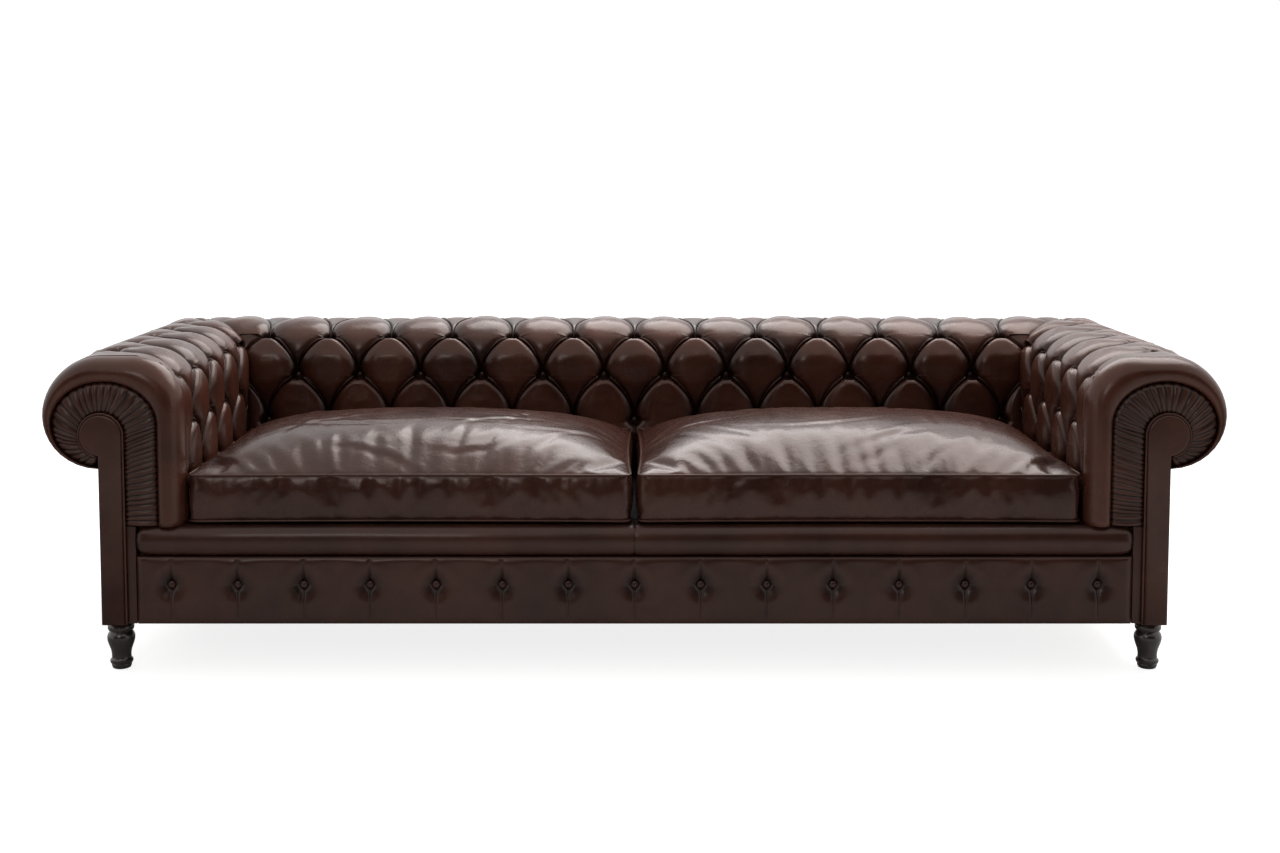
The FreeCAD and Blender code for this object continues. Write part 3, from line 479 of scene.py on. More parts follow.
# %% Pits and swellings
def pits(along, s, depth, buttons, seed):
    """Pull the leather down to each button, with small folds round it."""
    rng = np.random.default_rng(seed)
    for a, row in buttons:
        r = np.hypot(along - a, (s - row) * np.where(s < row, 1.7, 0.9))
        close = r < 90 * MM
        if not close.any():
            continue
        phase, count = rng.uniform(0, 6.28), rng.integers(9, 13)
        turn = np.arctan2(s - row, along - a)
        bowl = PIT * (1 - smooth((r - PIT_FLAT) / PIT_SLOPE))
        folds = 1.9 * MM * np.cos(count * turn + phase) * fading(r, 20)
        folds = folds * smooth((r - PIT_FLAT) / (PIT_SLOPE / 2))
        depth = np.where(close, np.maximum(depth, bowl) + folds, depth)
    return depth


def drape(along, s, depth, seed):
    """Low uneven swellings."""
    rng = np.random.default_rng(seed)
    wave = 0.0
    for length in (61, 83, 127):
        phase = rng.uniform(0, 6.28, 2)
        wave = wave + (np.sin(along / (length * MM) + phase[0])
                       * np.sin(s / (length * 0.8 * MM) + phase[1]))
    return depth + 0.7 * MM * wave * smooth(1 - depth / PLEAT)


# %% [markdown]
# The pad is built band by band. A band lies between two rows of buttons. Going up through it,
# the pillows that hang from the upper buttons grow narrower, and those that stand on the
# lower buttons grow wider. Below the first row and above the last one the pleats run straight.

# %% One band of pleats
def pleat_bow(u, rng):
    """How far a pleat has moved sideways, from 0 at its upper button to 1 at the lower."""
    return (1 - (1 - u) ** (BOW + rng.uniform(-0.12, 0.12))) ** 0.78


def band_pleats(s, low, high, offset, pitch, columns, first, rng):
    """Places, depths and kinds of the pleats between two rows. offset is of the upper row."""
    u = (high - s) / (high - low)
    length = math.hypot(high - low, pitch / 2)
    from_upper, from_lower = u * length, (1 - u) * length
    pulled = fading(from_upper, 12) + fading(from_lower, 48)
    depth = np.minimum(PLEAT + (PIT - PLEAT) * pulled, PIT)
    places, depths, real = [], [], []
    for k in columns:
        button = offset + k * pitch
        for side in (-1, 1):
            places.append(button + side * pitch / 2 * pleat_bow(u, rng))
            depths.append(depth)
            real.append(min(button, button + side * pitch / 2) >= first - HAIR)
    return np.stack(places, 1), np.stack(depths, 1), np.array(real), u


def straight_pleats(s, row, end, offset, pitch, columns, first):
    """Pleats that run straight from a row to the pad's edge."""
    far = np.abs(s - row)
    fade = 1 - 0.5 * far / abs(end - row)
    depth = LOOSE_PLEAT * fade + (PIT - LOOSE_PLEAT) * fading(far, 17)
    places = np.stack([np.full_like(s, offset + k * pitch) for k in columns], 1)
    real = np.array([offset + k * pitch >= first - HAIR for k in columns])
    return places, np.repeat(depth[:, None], len(columns), 1), real


# %% A whole pad
def pillow_heights(width, pitch, hanging):
    """How high a pillow rises for its width. A hanging one is round at its narrow top."""
    quick = np.clip(width / (62 * MM), 0, 1) ** 0.55
    slow = np.clip(width / (120 * MM), 0, 1) ** 0.6
    return np.where(hanging, quick, slow), -PUFF * np.clip(width / pitch, 0, 1)


def clamp_pleats(places, depths, real, start, start_depth, stop, stop_depth):
    """Hold the pleats between the pad's two ends, where they run into its edge."""
    places = np.where(real, places, -1.0e3)
    edge, end = start[:, None], stop[:, None]
    depths = np.where(real, depths, 0.0)
    if start_depth is not None:
        near = fading(np.clip(places - edge, 0, None), END_FADE)
        depths = depths + (start_depth[:, None] - depths) * near
    near = fading(np.clip(end - places, 0, None), END_FADE)
    depths = depths + (stop_depth[:, None] - depths) * near
    first_depth = 0.0 if start_depth is None else start_depth[:, None]
    depths = np.where(places < edge, first_depth, depths)
    depths = np.where(places > end, stop_depth[:, None], depths)
    return np.clip(places, edge, end), depths


def button_places(rows, offsets, pitch, columns, first, ends):
    """The buttons of a pad as (along, s), without those too near to its ends."""
    buttons = []
    for row, offset in zip(rows, offsets):
        low, high = [float(end[0]) for end in ends(np.array([row]))[::2]]
        for k in columns:
            a = offset + k * pitch
            if a >= first - HAIR and low + BUTTON_CLEAR < a < high - BUTTON_CLEAR:
                buttons.append((a, row))
    return buttons


def tufted_levels(rows, pitch, odd, even, columns, first, ends, seed):
    """The pad as patches of (along, s, depth), from the seat to the roll's underside."""
    rng = np.random.default_rng(seed)
    offsets = [even if r % 2 == 0 else odd for r in range(len(rows))]
    buttons = button_places(rows, offsets, pitch, columns, first, ends)
    regions = [("below", 0.0, rows[0], 12)]
    regions += [("band", low, high, 22) for low, high in zip(rows, rows[1:])]
    regions.append(("above", rows[-1], SECTION, 26))
    patches = []
    for number, (kind, low, high, count) in enumerate(regions):
        t = np.arange(count + 1) / count
        if kind == "band":
            s = low + (high - low) * (1 - np.cos(math.pi * t)) / 2
            places, depths, real, u = band_pleats(
                s, low, high, offsets[number], pitch, columns, first, rng)
        elif kind == "above":
            s = low + (high - low) * (0.25 * t + 0.75 * t ** 1.8)
            places, depths, real = straight_pleats(
                s, low, high, offsets[-1], pitch, columns, first)
        else:
            s = high - (high - low) * (0.3 * (1 - t) + 0.7 * (1 - t) ** 1.7)
            places, depths, real = straight_pleats(
                s, high, low, offsets[0], pitch, columns, first)
        start, start_depth, stop, stop_depth = ends(s)
        places, depths = clamp_pleats(places, depths, real, start, start_depth, stop, stop_depth)
        width = places[:, 1:] - places[:, :-1]
        hanging = np.zeros_like(width, bool)
        strength = np.zeros_like(width)
        if kind == "band":
            hanging[:, ::2] = True
            fold = smooth(u / 0.05) * (1 - smooth((u - 0.55) / 0.4))
            strength[:, 1::2] = fold[:, None] * rng.uniform(0.5, 1.1, width[:, 1::2].shape[1])
        height, puffed = pillow_heights(width, pitch, hanging)
        if kind != "band":
            height = np.clip(width / (30 * MM), 0, 1) ** 0.5
        open_left = (places[:, :-1] <= start[:, None] + 1e-9) & (start_depth is None)
        height = np.where(open_left & (width > HAIR), 1.0, height)
        puffed = np.where(open_left, 0.0, puffed)
        strength = np.where(open_left, 0.0, strength)
        along, depth = spread_between(places, depths, height, puffed)
        levels = np.broadcast_to(s[:, None, None], along.shape)
        depth = drape(along, levels, depth + FOLD * strength[:, :, None], seed)
        depth = pits(along, levels, depth, buttons, seed)
        patches.append([part.reshape(len(s), -1) for part in (along, levels, depth)])
    return patches, buttons


def pad_section(levels, depth):
    """The face of a pad at its depths and the pad's inner side: w and z of both."""
    w, z, out_w, out_z = crest(levels)
    inner_w, inner_z = [np.repeat((v - INNER * out)[:, :1], 2, axis=1)
                        for v, out in ((w, out_w), (z, out_z))]
    return w - depth * out_w, z - depth * out_z, inner_w, inner_z


print("tufting is ready")

# %% [markdown]
# ## The arm pads
# An arm's leather is one piece from the seam round its pleated front to the corner with the
# back. Its front edge is a smooth roll, because no pleat runs forward past the first
# buttons. At the corner it is cut along the mitre and meets the back in a deep crease.

# %% Arm pads
PAD_START = 50 * MM       # front plane to where the round front edge has ended
FAN_W = 171 * MM          # centre and half sizes of the oval seam round the pleats
FAN_Z = 560 * MM
FAN_A = 116.5 * MM
FAN_B = 95 * MM
SEAM_SET = 15 * MM        # how far the seam lies behind the front plane
EDGE_TOP = 0.35           # where across the front edge it stands out most
EDGE_SHARES = np.array([0.06, 0.0, 0.03, 0.08, 0.15, 0.24, 0.35, 0.46, 0.56, 0.66, 0.75, 0.83,
                        0.9, 0.955, 0.99, 1.0])


def arm_ends(s):
    w, _, out_w, _ = crest(s)
    deep = corner_depth(s)
    return np.full_like(s, PAD_START), None, BACK_IN - FRONT + w - deep * out_w, deep


def fan_seam(w, z):
    """The point of the oval seam that belongs to a point of the crest."""
    aside, up = w - FAN_W, z - FAN_Z
    reach = np.minimum(1 / np.hypot(aside / FAN_A, up / FAN_B), 0.965)
    below = (up < 0) & (aside < 0)
    return (np.where(below, FAN_W - FAN_A, FAN_W + aside * reach),
            np.where(below, z, FAN_Z + up * reach))


def front_edge(s):
    """The rounded front of the arm: (w, a, z) for every level, from the seam to the pad."""
    w1, z1, _, _ = crest(s)
    z1 = arm_height(z1, 0.0)
    w0, z0 = fan_seam(w1, z1)
    thick = np.hypot(w1 - w0, z1 - z0)
    outer = np.minimum(PAD_START, thick * 0.8 + 10 * MM)
    seam = np.minimum(SEAM_SET, thick * 0.4)
    back = [seam + 18 * MM]
    for share in EDGE_SHARES[1:]:
        if share < EDGE_TOP:
            back.append(seam * (1 - np.sqrt(1 - (1 - share / EDGE_TOP) ** 2)))
        else:
            past = (share - EDGE_TOP) / (1 - EDGE_TOP)
            back.append(outer * (1 - math.sqrt(1 - past ** 2)))
    w = w0[:, None] + (w1 - w0)[:, None] * EDGE_SHARES
    z = z0[:, None] + (z1 - z0)[:, None] * EDGE_SHARES
    return w, np.stack(back, 1), z


def arm_pad(name, side, seed):
    """The leather of one arm, and where its buttons are."""
    first = ARM_ODD - ARM_PITCH / 2
    patches, buttons = tufted_levels(ARM_ROWS, ARM_PITCH, ARM_ODD, first, range(-2, 8), first,
                                     arm_ends, seed)
    rings, crease_shades = [], []
    for along, levels, depth in patches:
        w, z, inner_w, inner_z = pad_section(levels, depth)
        s = levels[:, 0]
        front_w, front_a, front_z = front_edge(s)
        inner_a = np.stack([BACK_IN - FRONT + inner_w[:, 0], np.full_like(s, PAD_START)], 1)
        pad_a = np.concatenate([along, inner_a], 1)
        pad_z = arm_height(np.concatenate([z, inner_z], 1), pad_a)
        level_z = crest(s)[1]
        front_z = (front_z + arm_height(level_z, PAD_START)[:, None]
                   - arm_height(level_z, 0.0)[:, None])
        all_w = np.concatenate([front_w, w, inner_w], 1)
        rings.append(np.stack([side * (HALF + all_w),
                               FRONT + np.concatenate([front_a, pad_a], 1),
                               np.concatenate([front_z, pad_z], 1)], -1))
        # Painted shade for the leather: full at the tucked seam of the front edge, and as deep as
        # the pleats and pits on the pad.
        front_crease_shade = np.zeros_like(front_a)
        front_crease_shade[:, 0] = 1.0
        crease_shades.append(np.concatenate([front_crease_shade, depth / PIT, np.zeros_like(inner_w)], 1))
    return mesh_of_rings(name, rings, crease_shades), buttons


arm_buttons = {}
for side_name, side in SIDES:
    pad, arm_buttons[side_name] = arm_pad(side_name + "_arm_cover", side, 11 if side < 0 else 12)
    finish_piece(pad, "leather", side_name + "_arm_pad", side_name + "_arm_collar", fill=0.85)

# %% [markdown]
# ## The back pad
# The back is buttoned in the same way with a slightly wider pitch, and is mitred at both ends.

# %% Back pad
def back_ends(s):
    w, _, out_w, _ = crest(s)
    deep = corner_depth(s)
    reach = HALF + w - deep * out_w
    return -reach, deep, reach, deep


def back_pad(name, seed):
    """The leather of the back, and where its buttons are."""
    patches, buttons = tufted_levels(BACK_ROWS, BACK_PITCH, BACK_PITCH / 2, 0.0,
                                     range(-10, 11), -9.0, back_ends, seed)
    rings, crease_shades = [], []
    for along, levels, depth in patches:
        w, z, inner_w, inner_z = pad_section(levels, depth)
        rings.append(np.stack([np.concatenate([along, (HALF + inner_w) * (1, -1)], 1),
                               BACK_IN + np.concatenate([w, inner_w], 1),
                               np.concatenate([z, inner_z], 1)], -1))
        # Painted shade for the leather: darker the deeper a pleat or pit lies.
        crease_shades.append(np.concatenate([depth / PIT, np.zeros_like(inner_w)], 1))
    return mesh_of_rings(name, rings, crease_shades), buttons


pad, back_buttons = back_pad("back_cover", 21)
finish_piece(pad, "leather", "back_pad", fill=0.85)

# %% [markdown]
# ## The pleated arm fronts
# The front of each arm is one strip of leather, gathered by hand: some 25 pleats fan out
# from the round head of the post, and about 18 more run down beside the post. Pleats laid by
# hand differ in width, so their widths are drawn at random from a fixed seed.

# %% Pleated facings
HEAD_W = 177 * MM         # centre of the post's round head
HEAD_Z = 537 * MM
HEAD_R = 46 * MM
HEAD_END = -math.degrees(math.acos((WALL - HEAD_W) / HEAD_R))
FAN_END = -79.0           # degrees at which the fan stops under the roll
FAN_PLEATS = 25
BAND_PLEATS = 19
PLEAT_HEIGHT = 5.5 * MM
FACING_Y = FRONT + 14 * MM
BOARD_Y = FRONT + 26 * MM
PER_PLEAT = 8             # points across one pleat
TUCK = 0.07               # share of the width that is tucked in at each side
ACROSS = np.concatenate([[-0.02, 0.02], np.linspace(TUCK, 1 - TUCK, 13), [0.975, 1.02]])


def pleat_phases(count, rng):
    """Places from 0 to 1 with an uneven share for each pleat, the phase in it and its height."""
    widths = rng.uniform(0.65, 1.35, count)
    edges = np.concatenate([[0], np.cumsum(widths)]) / widths.sum()
    inside = np.arange(PER_PLEAT) / PER_PLEAT
    places = [edges[i] + (edges[i + 1] - edges[i]) * inside for i in range(count)]
    heights = np.repeat(rng.uniform(0.55, 1.1, count), PER_PLEAT)
    return np.concatenate(places), np.tile(inside, count), heights


def facing_sides(fan, band):
    """Points (w, z) on the post's side and on the seam's side, for every sample."""
    ring = np.radians(FAN_END + (180 - FAN_END) * fan)
    head = np.radians(HEAD_END + (180 - HEAD_END) * fan)
    post = [np.stack([HEAD_W + HEAD_R * np.cos(head), HEAD_Z + HEAD_R * np.sin(head)], 1)]
    seam = [np.stack([FAN_W + FAN_A * np.cos(ring), FAN_Z + FAN_B * np.sin(ring)], 1)]
    down = np.ones_like(band)
    post.append(np.stack([(HEAD_W - HEAD_R) * down, HEAD_Z + (BASE - HEAD_Z) * band], 1))
    seam.append(np.stack([(FAN_W - FAN_A) * down, FAN_Z + (BASE - FAN_Z) * band ** 1.12], 1))
    return np.concatenate(post), np.concatenate(seam)


def pleated_facing(name, side, seed):
    """The gathered strip of one arm, from under the roll over the top and down to the seat."""
    rng = np.random.default_rng(seed)
    fan, fan_phase, fan_high = pleat_phases(FAN_PLEATS, rng)
    band, band_phase, band_high = pleat_phases(BAND_PLEATS, rng)
    phase = np.concatenate([fan_phase, band_phase, [0.0]])
    high = np.concatenate([fan_high, band_high, [0.0]])
    post, seam = facing_sides(fan, np.append(band, 1.0))
    sway = np.concatenate([np.zeros(1), np.cumsum(rng.normal(0, 0.25, len(phase) - 1))])
    sway = np.interp(np.arange(len(phase)), np.arange(0, len(phase), 16), sway[::16])
    bent = phase[:, None] + 0.10 * np.sin(sway[:, None] + 4 * ACROSS)
    ridge = np.abs(np.sin(math.pi * bent)) ** 0.6
    crown = np.sin(math.pi * np.clip(ACROSS, 0, 1))
    up = PLEAT_HEIGHT * high[:, None] * ridge * (0.35 + 0.65 * crown ** 0.5)
    tuck = 9 * MM * (smooth((TUCK - ACROSS) / 0.09) + smooth((ACROSS - 1 + TUCK) / 0.09))
    y = FACING_Y + tuck - up - 5 * MM * crown
    places = post[:, None] + (seam - post)[:, None] * ACROSS[:, None]
    behind = np.full((len(phase), 1), BOARD_Y)
    y = np.concatenate([behind, y, behind], 1)
    places = np.concatenate([places[:, :1], places, places[:, -1:]], 1)
    ring = np.stack([side * (HALF + places[..., 0]), y, places[..., 1]], -1)
    # Painted shade for the leather: darker in the valleys between the pleats' ridges.
    return mesh_of_rings(name, [ring], [np.pad(0.8 * (1 - ridge), ((0, 0), (1, 1)))])


for side_name, side in SIDES:
    facing = pleated_facing(side_name + "_pleated_front", side, 31 if side < 0 else 32)
    finish_piece(facing, "facing_leather", side_name + "_pleated_facing", fill=0.3)

# %% [markdown]
# ## Posts, piping and strips
# A flat post runs up the front of each arm and ends in a round head. It is a board with one
# layer of padding under the leather, so its edges are only slightly rounded. It starts as a
# circle, its lower left quarter is opened, and the two ends are extruded down to the foot.

# %% Helpers for modelling by hand
TOUCH = 0.01 * MM         # points nearer than this count as one


def mode(name):
    bpy.ops.object.mode_set(mode=name)


def activate(piece):
    """Make a piece the active one and the only one selected."""
    bpy.ops.object.select_all(action="DESELECT")
    piece.select_set(True)
    bpy.context.view_layer.objects.active = piece


def start_edit(piece):
    activate(piece)
    mode("EDIT")
    bpy.ops.mesh.select_mode(type="VERT")


def choose(piece, test, kind="vertices"):
    """Select the vertices or edges that pass a test, and go to edit mode."""
    mode("EDIT")
    bpy.ops.mesh.select_all(action="DESELECT")
    mode("OBJECT")
    for part in getattr(piece.data, kind):
        part.select = bool(test(part))
    mode("EDIT")


def choose_all():
    mode("EDIT")
    bpy.ops.mesh.select_all(action="SELECT")


def end_edit(piece):
    """Leave edit mode and shade the piece smooth."""
    mode("OBJECT")
    bpy.ops.object.select_all(action="DESELECT")
    piece.data.shade_smooth()
    return piece


def place_mesh(piece):
    """Put an object's place, turn and scale into its mesh."""
    piece.data.transform(piece.matrix_basis)
    piece.matrix_basis.identity()


def apply_modifier(piece, modifier):
    activate(piece)
    bpy.ops.object.modifier_apply(modifier=modifier.name)


# %% Post covers
def post_cover(name, side):
    """The padded leather on one post."""
    bpy.ops.mesh.primitive_circle_add(vertices=64, radius=HEAD_R,
                                      location=(side * (HALF + HEAD_W), FRONT, HEAD_Z),
                                      rotation=(math.pi / 2, 0, 0))
    piece = bpy.context.object
    piece.name = name
    place_mesh(piece)
    inner, outer = side * (HALF + HEAD_W - HEAD_R), side * (HALF + WALL)
    start_edit(piece)
    choose(piece, lambda v: v.co.z < HEAD_Z - TOUCH and side * v.co.x < HALF + WALL - MM)
    bpy.ops.mesh.delete(type="VERT")
    mode("OBJECT")
    lowest = min(v.co.z for v in piece.data.vertices)
    choose(piece, lambda v: abs(v.co.z - lowest) < TOUCH or abs(v.co.x - inner) < TOUCH)
    bpy.ops.mesh.extrude_region_move(TRANSFORM_OT_translate={"value": (0, 0, -0.2)})
    mode("OBJECT")
    for v in piece.data.vertices:
        if v.select:
            v.co.z = FOOT_TOP
            v.co.x = inner if abs(v.co.x - inner) < MM else outer
        elif abs(v.co.z - lowest) < TOUCH:
            v.co.x = outer
    choose_all()
    bpy.ops.mesh.edge_face_add()
    bpy.ops.mesh.extrude_region_move(TRANSFORM_OT_translate={"value": (0, BOARD_Y - FRONT, 0)})
    choose_all()
    bpy.ops.mesh.normals_make_consistent(inside=False)

    def on_front_rim(edge):
        middle = sum((piece.data.vertices[i].co for i in edge.vertices), Vector()) / 2
        return middle.y < FRONT + TOUCH and middle.z > FOOT_TOP + MM

    bpy.ops.mesh.select_mode(type="EDGE")
    choose(piece, on_front_rim, "edges")
    bpy.ops.mesh.bevel(offset=6 * MM, segments=5, profile=0.6)
    return end_edit(piece)


for side_name, side in SIDES:
    finish_piece(post_cover(side_name + "_post_cover", side), "facing_leather",
                 side_name + "_post_facing")

# %% [markdown]
# A piped edge is a cord in a narrow strip of leather, sewn into a seam. It is a curve with a
# round section, turned into a mesh, because it keeps an even thickness round every corner.

# %% Piping
PIPING_R = 2.6 * MM


def piping(name, paths, closed=False):
    """A mesh of round cords along paths of points."""
    curve = bpy.data.curves.new(name, "CURVE")
    curve.dimensions = "3D"
    curve.bevel_depth = PIPING_R
    curve.bevel_resolution = 3
    curve.use_fill_caps = True
    for path in paths:
        spline = curve.splines.new("POLY")
        spline.points.add(len(path) - 1)
        for point, place in zip(spline.points, path):
            point.co = (*place, 1.0)
        spline.use_cyclic_u = closed
    drawn = bpy.data.objects.new(name + "_line", curve)
    mesh = bpy.data.meshes.new_from_object(drawn)
    bpy.data.objects.remove(drawn)
    return tidy_mesh(link(bpy.data.objects.new(name, mesh)))


def post_cord(side):
    """The path up the inner edge of a post and round its head."""
    path = [(HEAD_W - HEAD_R - PIPING_R, z) for z in np.linspace(FOOT_TOP, HEAD_Z, 30)]
    r = HEAD_R + PIPING_R
    for turn in np.radians(np.linspace(180, HEAD_END + 6, 60))[1:]:
        path.append((HEAD_W + r * math.cos(turn), HEAD_Z + r * math.sin(turn)))
    return [(side * (HALF + w), FRONT + 6 * MM, z) for w, z in path]


for side_name, side in SIDES:
    finish_piece(piping(side_name + "_post_cord", [post_cord(side)]), "piping_leather",
                 side_name + "_post_piping")

# %% [markdown]
# Between the post and the buttoned rail a narrow flat strip of leather covers the end of the
# rail. It is a box with rounded edges.

# %% Strips at the ends of the rail
def soft_box(name, low, high, rounding):
    """A box with rounded edges between two corners."""
    bpy.ops.mesh.primitive_cube_add(size=1.0, location=(low + high) / 2)
    piece = bpy.context.object
    piece.name = name
    piece.scale = high - low
    place_mesh(piece)
    start_edit(piece)
    choose_all()
    bpy.ops.mesh.bevel(offset=rounding, segments=4, profile=0.6)
    return end_edit(piece)


for side_name, side in SIDES:
    node_name = side_name + "_rail_end_strip"
    strip = soft_box(side_name + "_end_strip", *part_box(node_name), 3 * MM)
    finish_piece(strip, "panel_leather", node_name)

# %% [markdown]
# ## The front edge roll
# The lip under the cushions is a firm roll that keeps them from sliding forward. Its cover is
# drawn together at both ends, and a seam in its middle joins two hides.

# %% Front edge roll
LIP_LOW, LIP_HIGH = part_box("front_edge_roll")
LIP_ROUND = 26 * MM       # how far its round front stands out


def edge_roll(name):
    half = LIP_HIGH.x
    middle = (LIP_HIGH.z + LIP_LOW.z) / 2
    r = (LIP_HIGH.z - LIP_LOW.z) / 2
    end = half - np.array([0, 1.5, 4, 8, 13, 20, 30, 45, 70]) * MM
    seam = np.array([0, 1.2, 3, 6, 12, 22]) * MM
    right = np.unique(np.concatenate([seam, np.linspace(0.04, half - 0.1, 38), end]))
    x = np.concatenate([-right[:0:-1], right])
    turns = np.radians(np.linspace(-90, 90, 19))
    near_end = half - np.abs(x)
    drawn = 1 - 0.34 * fading(near_end, 7) - 0.05 * fading(near_end, 40)
    drawn = drawn - 0.05 * fading(np.abs(x), 2.2)
    rings, crease_shades = [], []
    for place, k, close in zip(x, drawn, near_end):
        gather = 1.6 * MM * fading(close, 22) * np.cos(9 * turns)
        slack = 0.8 * MM * np.sin(place / 0.083) * np.cos(turns) + 0.5 * MM * np.sin(place / 0.031)
        y = FRONT + LIP_ROUND - (LIP_ROUND * np.cos(turns) ** 0.8 + gather + slack) * k
        z = middle + r * np.sin(turns) * k
        ring_y = np.concatenate([[LIP_HIGH.y], y, [LIP_HIGH.y]])
        ring_z = np.concatenate([z[:1], z, z[-1:]])
        rings.append(np.stack([np.full_like(ring_y, place), ring_y, ring_z], 1))
        # Painted shade for the leather: darker in the gathers at both ends and in the middle seam.
        crease_shades.append(np.full(len(ring_y), max(0.0, 1 - close / 0.01, 1 - abs(place) / 0.002)))
    return mesh_of_rings(name, [np.stack(rings)], [np.stack(crease_shades)])


finish_piece(edge_roll("front_lip"), "panel_leather", "front_edge_roll", fill=0.8)

# %% [markdown]
# ## The buttoned front panel
# Below the roll the front rail is padded thinly and buttoned in one row. Above and below
# each button the slack runs off in one upright pleat, and the leather swells beside it.

# %% Front panel
FRONT_PITCH = 147 * MM
LAST_BUTTON = 7           # the row runs from -7 to 7, with number 0 in the middle
FRONT_BUTTON_Z = 201 * MM
PANEL_PIT = 12 * MM
PANEL_PLEAT = 6.5 * MM
PANEL_SET = 5 * MM        # how far the panel lies behind the front plane
PANEL_LOW, PANEL_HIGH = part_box("front_panel")


def panel_depth(x, z):
    """How deep the leather lies: a pit and a dimple at each button, with a pleat through both."""
    column = np.clip(np.round(x / FRONT_PITCH), -LAST_BUTTON, LAST_BUTTON)
    aside = x - column * FRONT_PITCH
    up = z - FRONT_BUTTON_Z
    r = np.hypot(aside, up)
    pleat = PANEL_PLEAT * fading(np.abs(aside), 3) * (0.45 + 0.55 * fading(np.abs(up), 38))
    pit = PANEL_PIT * bell(r, 8)
    dimple = 7 * MM * bell(r, 26) - 2.5 * MM * bell(r - 40 * MM, 16)
    turn = np.arctan2(up, np.abs(aside))
    folds = 0.9 * MM * np.cos(7 * turn) * fading(r, 16) * smooth(r / (8 * MM))
    slack = 0.7 * MM * np.sin(x / 0.047 + 2 * np.sin(z / 0.05))
    return pleat + pit + dimple + folds + slack


def front_panel(name):
    """The panel as a grid that is finer beside the pleats and along its edges."""
    near = np.array([0, 1.5, 3.5, 6, 9, 13, 18, 25, 34, 46, 60, 73.5]) * MM
    above = np.array([0, 2, 5, 9, 14, 20, 28, 38, 48]) * MM
    below = np.array([-62, -50, -38, -28, -20, -14, -9, -5, -2]) * MM
    rim = np.array([0, 0, 1, 3, 6, 11]) * MM
    reach = PANEL_HIGH.x
    x = np.concatenate([k * FRONT_PITCH + side * near
                        for k in range(-LAST_BUTTON - 1, LAST_BUTTON + 2) for side in (-1, 1)])
    x = np.unique(np.round(np.append(x[np.abs(x) < reach - 1 * MM], [-reach, reach]), 6))
    low, high = PANEL_LOW.z, PANEL_HIGH.z
    z = np.concatenate([low + rim, FRONT_BUTTON_Z + below, FRONT_BUTTON_Z + above,
                        high - rim[::-1]])
    grid_x, grid_z = np.meshgrid(x, z, indexing="ij")
    edge = np.minimum(np.minimum(grid_z - low, high - grid_z), reach - np.abs(grid_x))
    rounded = 9 * MM * (1 - ease(np.clip(edge / (12 * MM), 0, 1), 2.2))
    depth = panel_depth(grid_x, grid_z) * smooth(edge / (16 * MM))
    y = FRONT + PANEL_SET + depth + rounded
    y[:, 0] = y[:, -1] = BOARD_Y
    rings = np.stack([grid_x, y, grid_z], -1)
    # Painted shade for the leather: darker the deeper the pits, dimples and pleats lie.
    return mesh_of_rings(name, [rings], [np.clip(depth / PANEL_PIT, 0, 1)])


finish_piece(front_panel("buttoned_front"), "panel_leather", "front_panel", fill=0.6)

# %% [markdown]
# ## Buttons
# Every button is a small domed shell covered with the same leather, pulled deep into its pit.
# One button is modelled from a sphere: it is flattened, and its back is drawn in to the
# shank. Copies of its mesh are then set into the pits.

# %% Buttons
BUTTON_R = 9 * MM
BUTTON_SEAT = PIT - 4 * MM    # a button sits a little above the bottom of its pit


def model_button():
    """Points and faces of one button."""
    bpy.ops.mesh.primitive_uv_sphere_add(segments=20, ring_count=12, radius=BUTTON_R)
    piece = bpy.context.object
    start_edit(piece)
    choose(piece, lambda v: v.co.z < -TOUCH)
    bpy.ops.transform.resize(value=(0.55, 0.55, 1.0))
    choose_all()
    bpy.ops.transform.resize(value=(1.0, 1.0, 0.55))
    end_edit(piece)
    points = [v.co.copy() for v in piece.data.vertices]
    faces = [list(f.vertices) for f in piece.data.polygons]
    bpy.data.objects.remove(piece)
    return points, faces


button_points, button_faces = model_button()


def set_buttons(name, places, node):
    """One piece of many buttons. Each place is a point and the direction that it faces."""
    points, faces = [], []
    for spot, out in places:
        turn = Vector(out).to_track_quat("Z", "Y").to_matrix()
        start = len(points)
        points += [turn @ p + Vector(spot) for p in button_points]
        faces += [[i + start for i in f] for f in button_faces]
    piece = add_piece(name, points, [], faces)
    piece.data.shade_smooth()
    finish_piece(piece, "button_leather", node)


def in_pits(buttons, face):
    """The places of a pad's buttons. face turns along, w, z and the normal into one place."""
    places = []
    for along, s in buttons:
        w, z, out_w, out_z = (float(v) for v in crest(s))
        places.append(face(along, w - BUTTON_SEAT * out_w, z - BUTTON_SEAT * out_z, out_w, out_z))
    return places


def arm_face(side):
    def face(a, w, z, out_w, out_z):
        return ((side * (HALF + w), FRONT + a, float(arm_height(z, a))),
                (side * out_w, 0.0, out_z))
    return face


def back_face(x, w, z, out_w, out_z):
    return (x, BACK_IN + w, z), (0.0, out_w, out_z)


for side_name, side in SIDES:
    set_buttons(side_name + "_arm_button_set", in_pits(arm_buttons[side_name], arm_face(side)),
                side_name + "_arm_buttons")
set_buttons("back_button_set", in_pits(back_buttons, back_face), "back_buttons")
set_buttons("front_button_set",
            [((i * FRONT_PITCH, FRONT + PANEL_SET + PANEL_PIT, FRONT_BUTTON_Z), (0, -1, 0))
             for i in range(-LAST_BUTTON, LAST_BUTTON + 1)], "front_panel_buttons")

# %% [markdown]
# ## The loose cushions
# Each cushion is a feather-filled case: two panels joined by a border, with piping in both
# seams. The case is sewn a little larger than its filling, so it wrinkles beside the seams.
# The mesh is a box of even squares. A cloth simulation then fills it with air while the two
# seams are held, and the folds come by themselves.

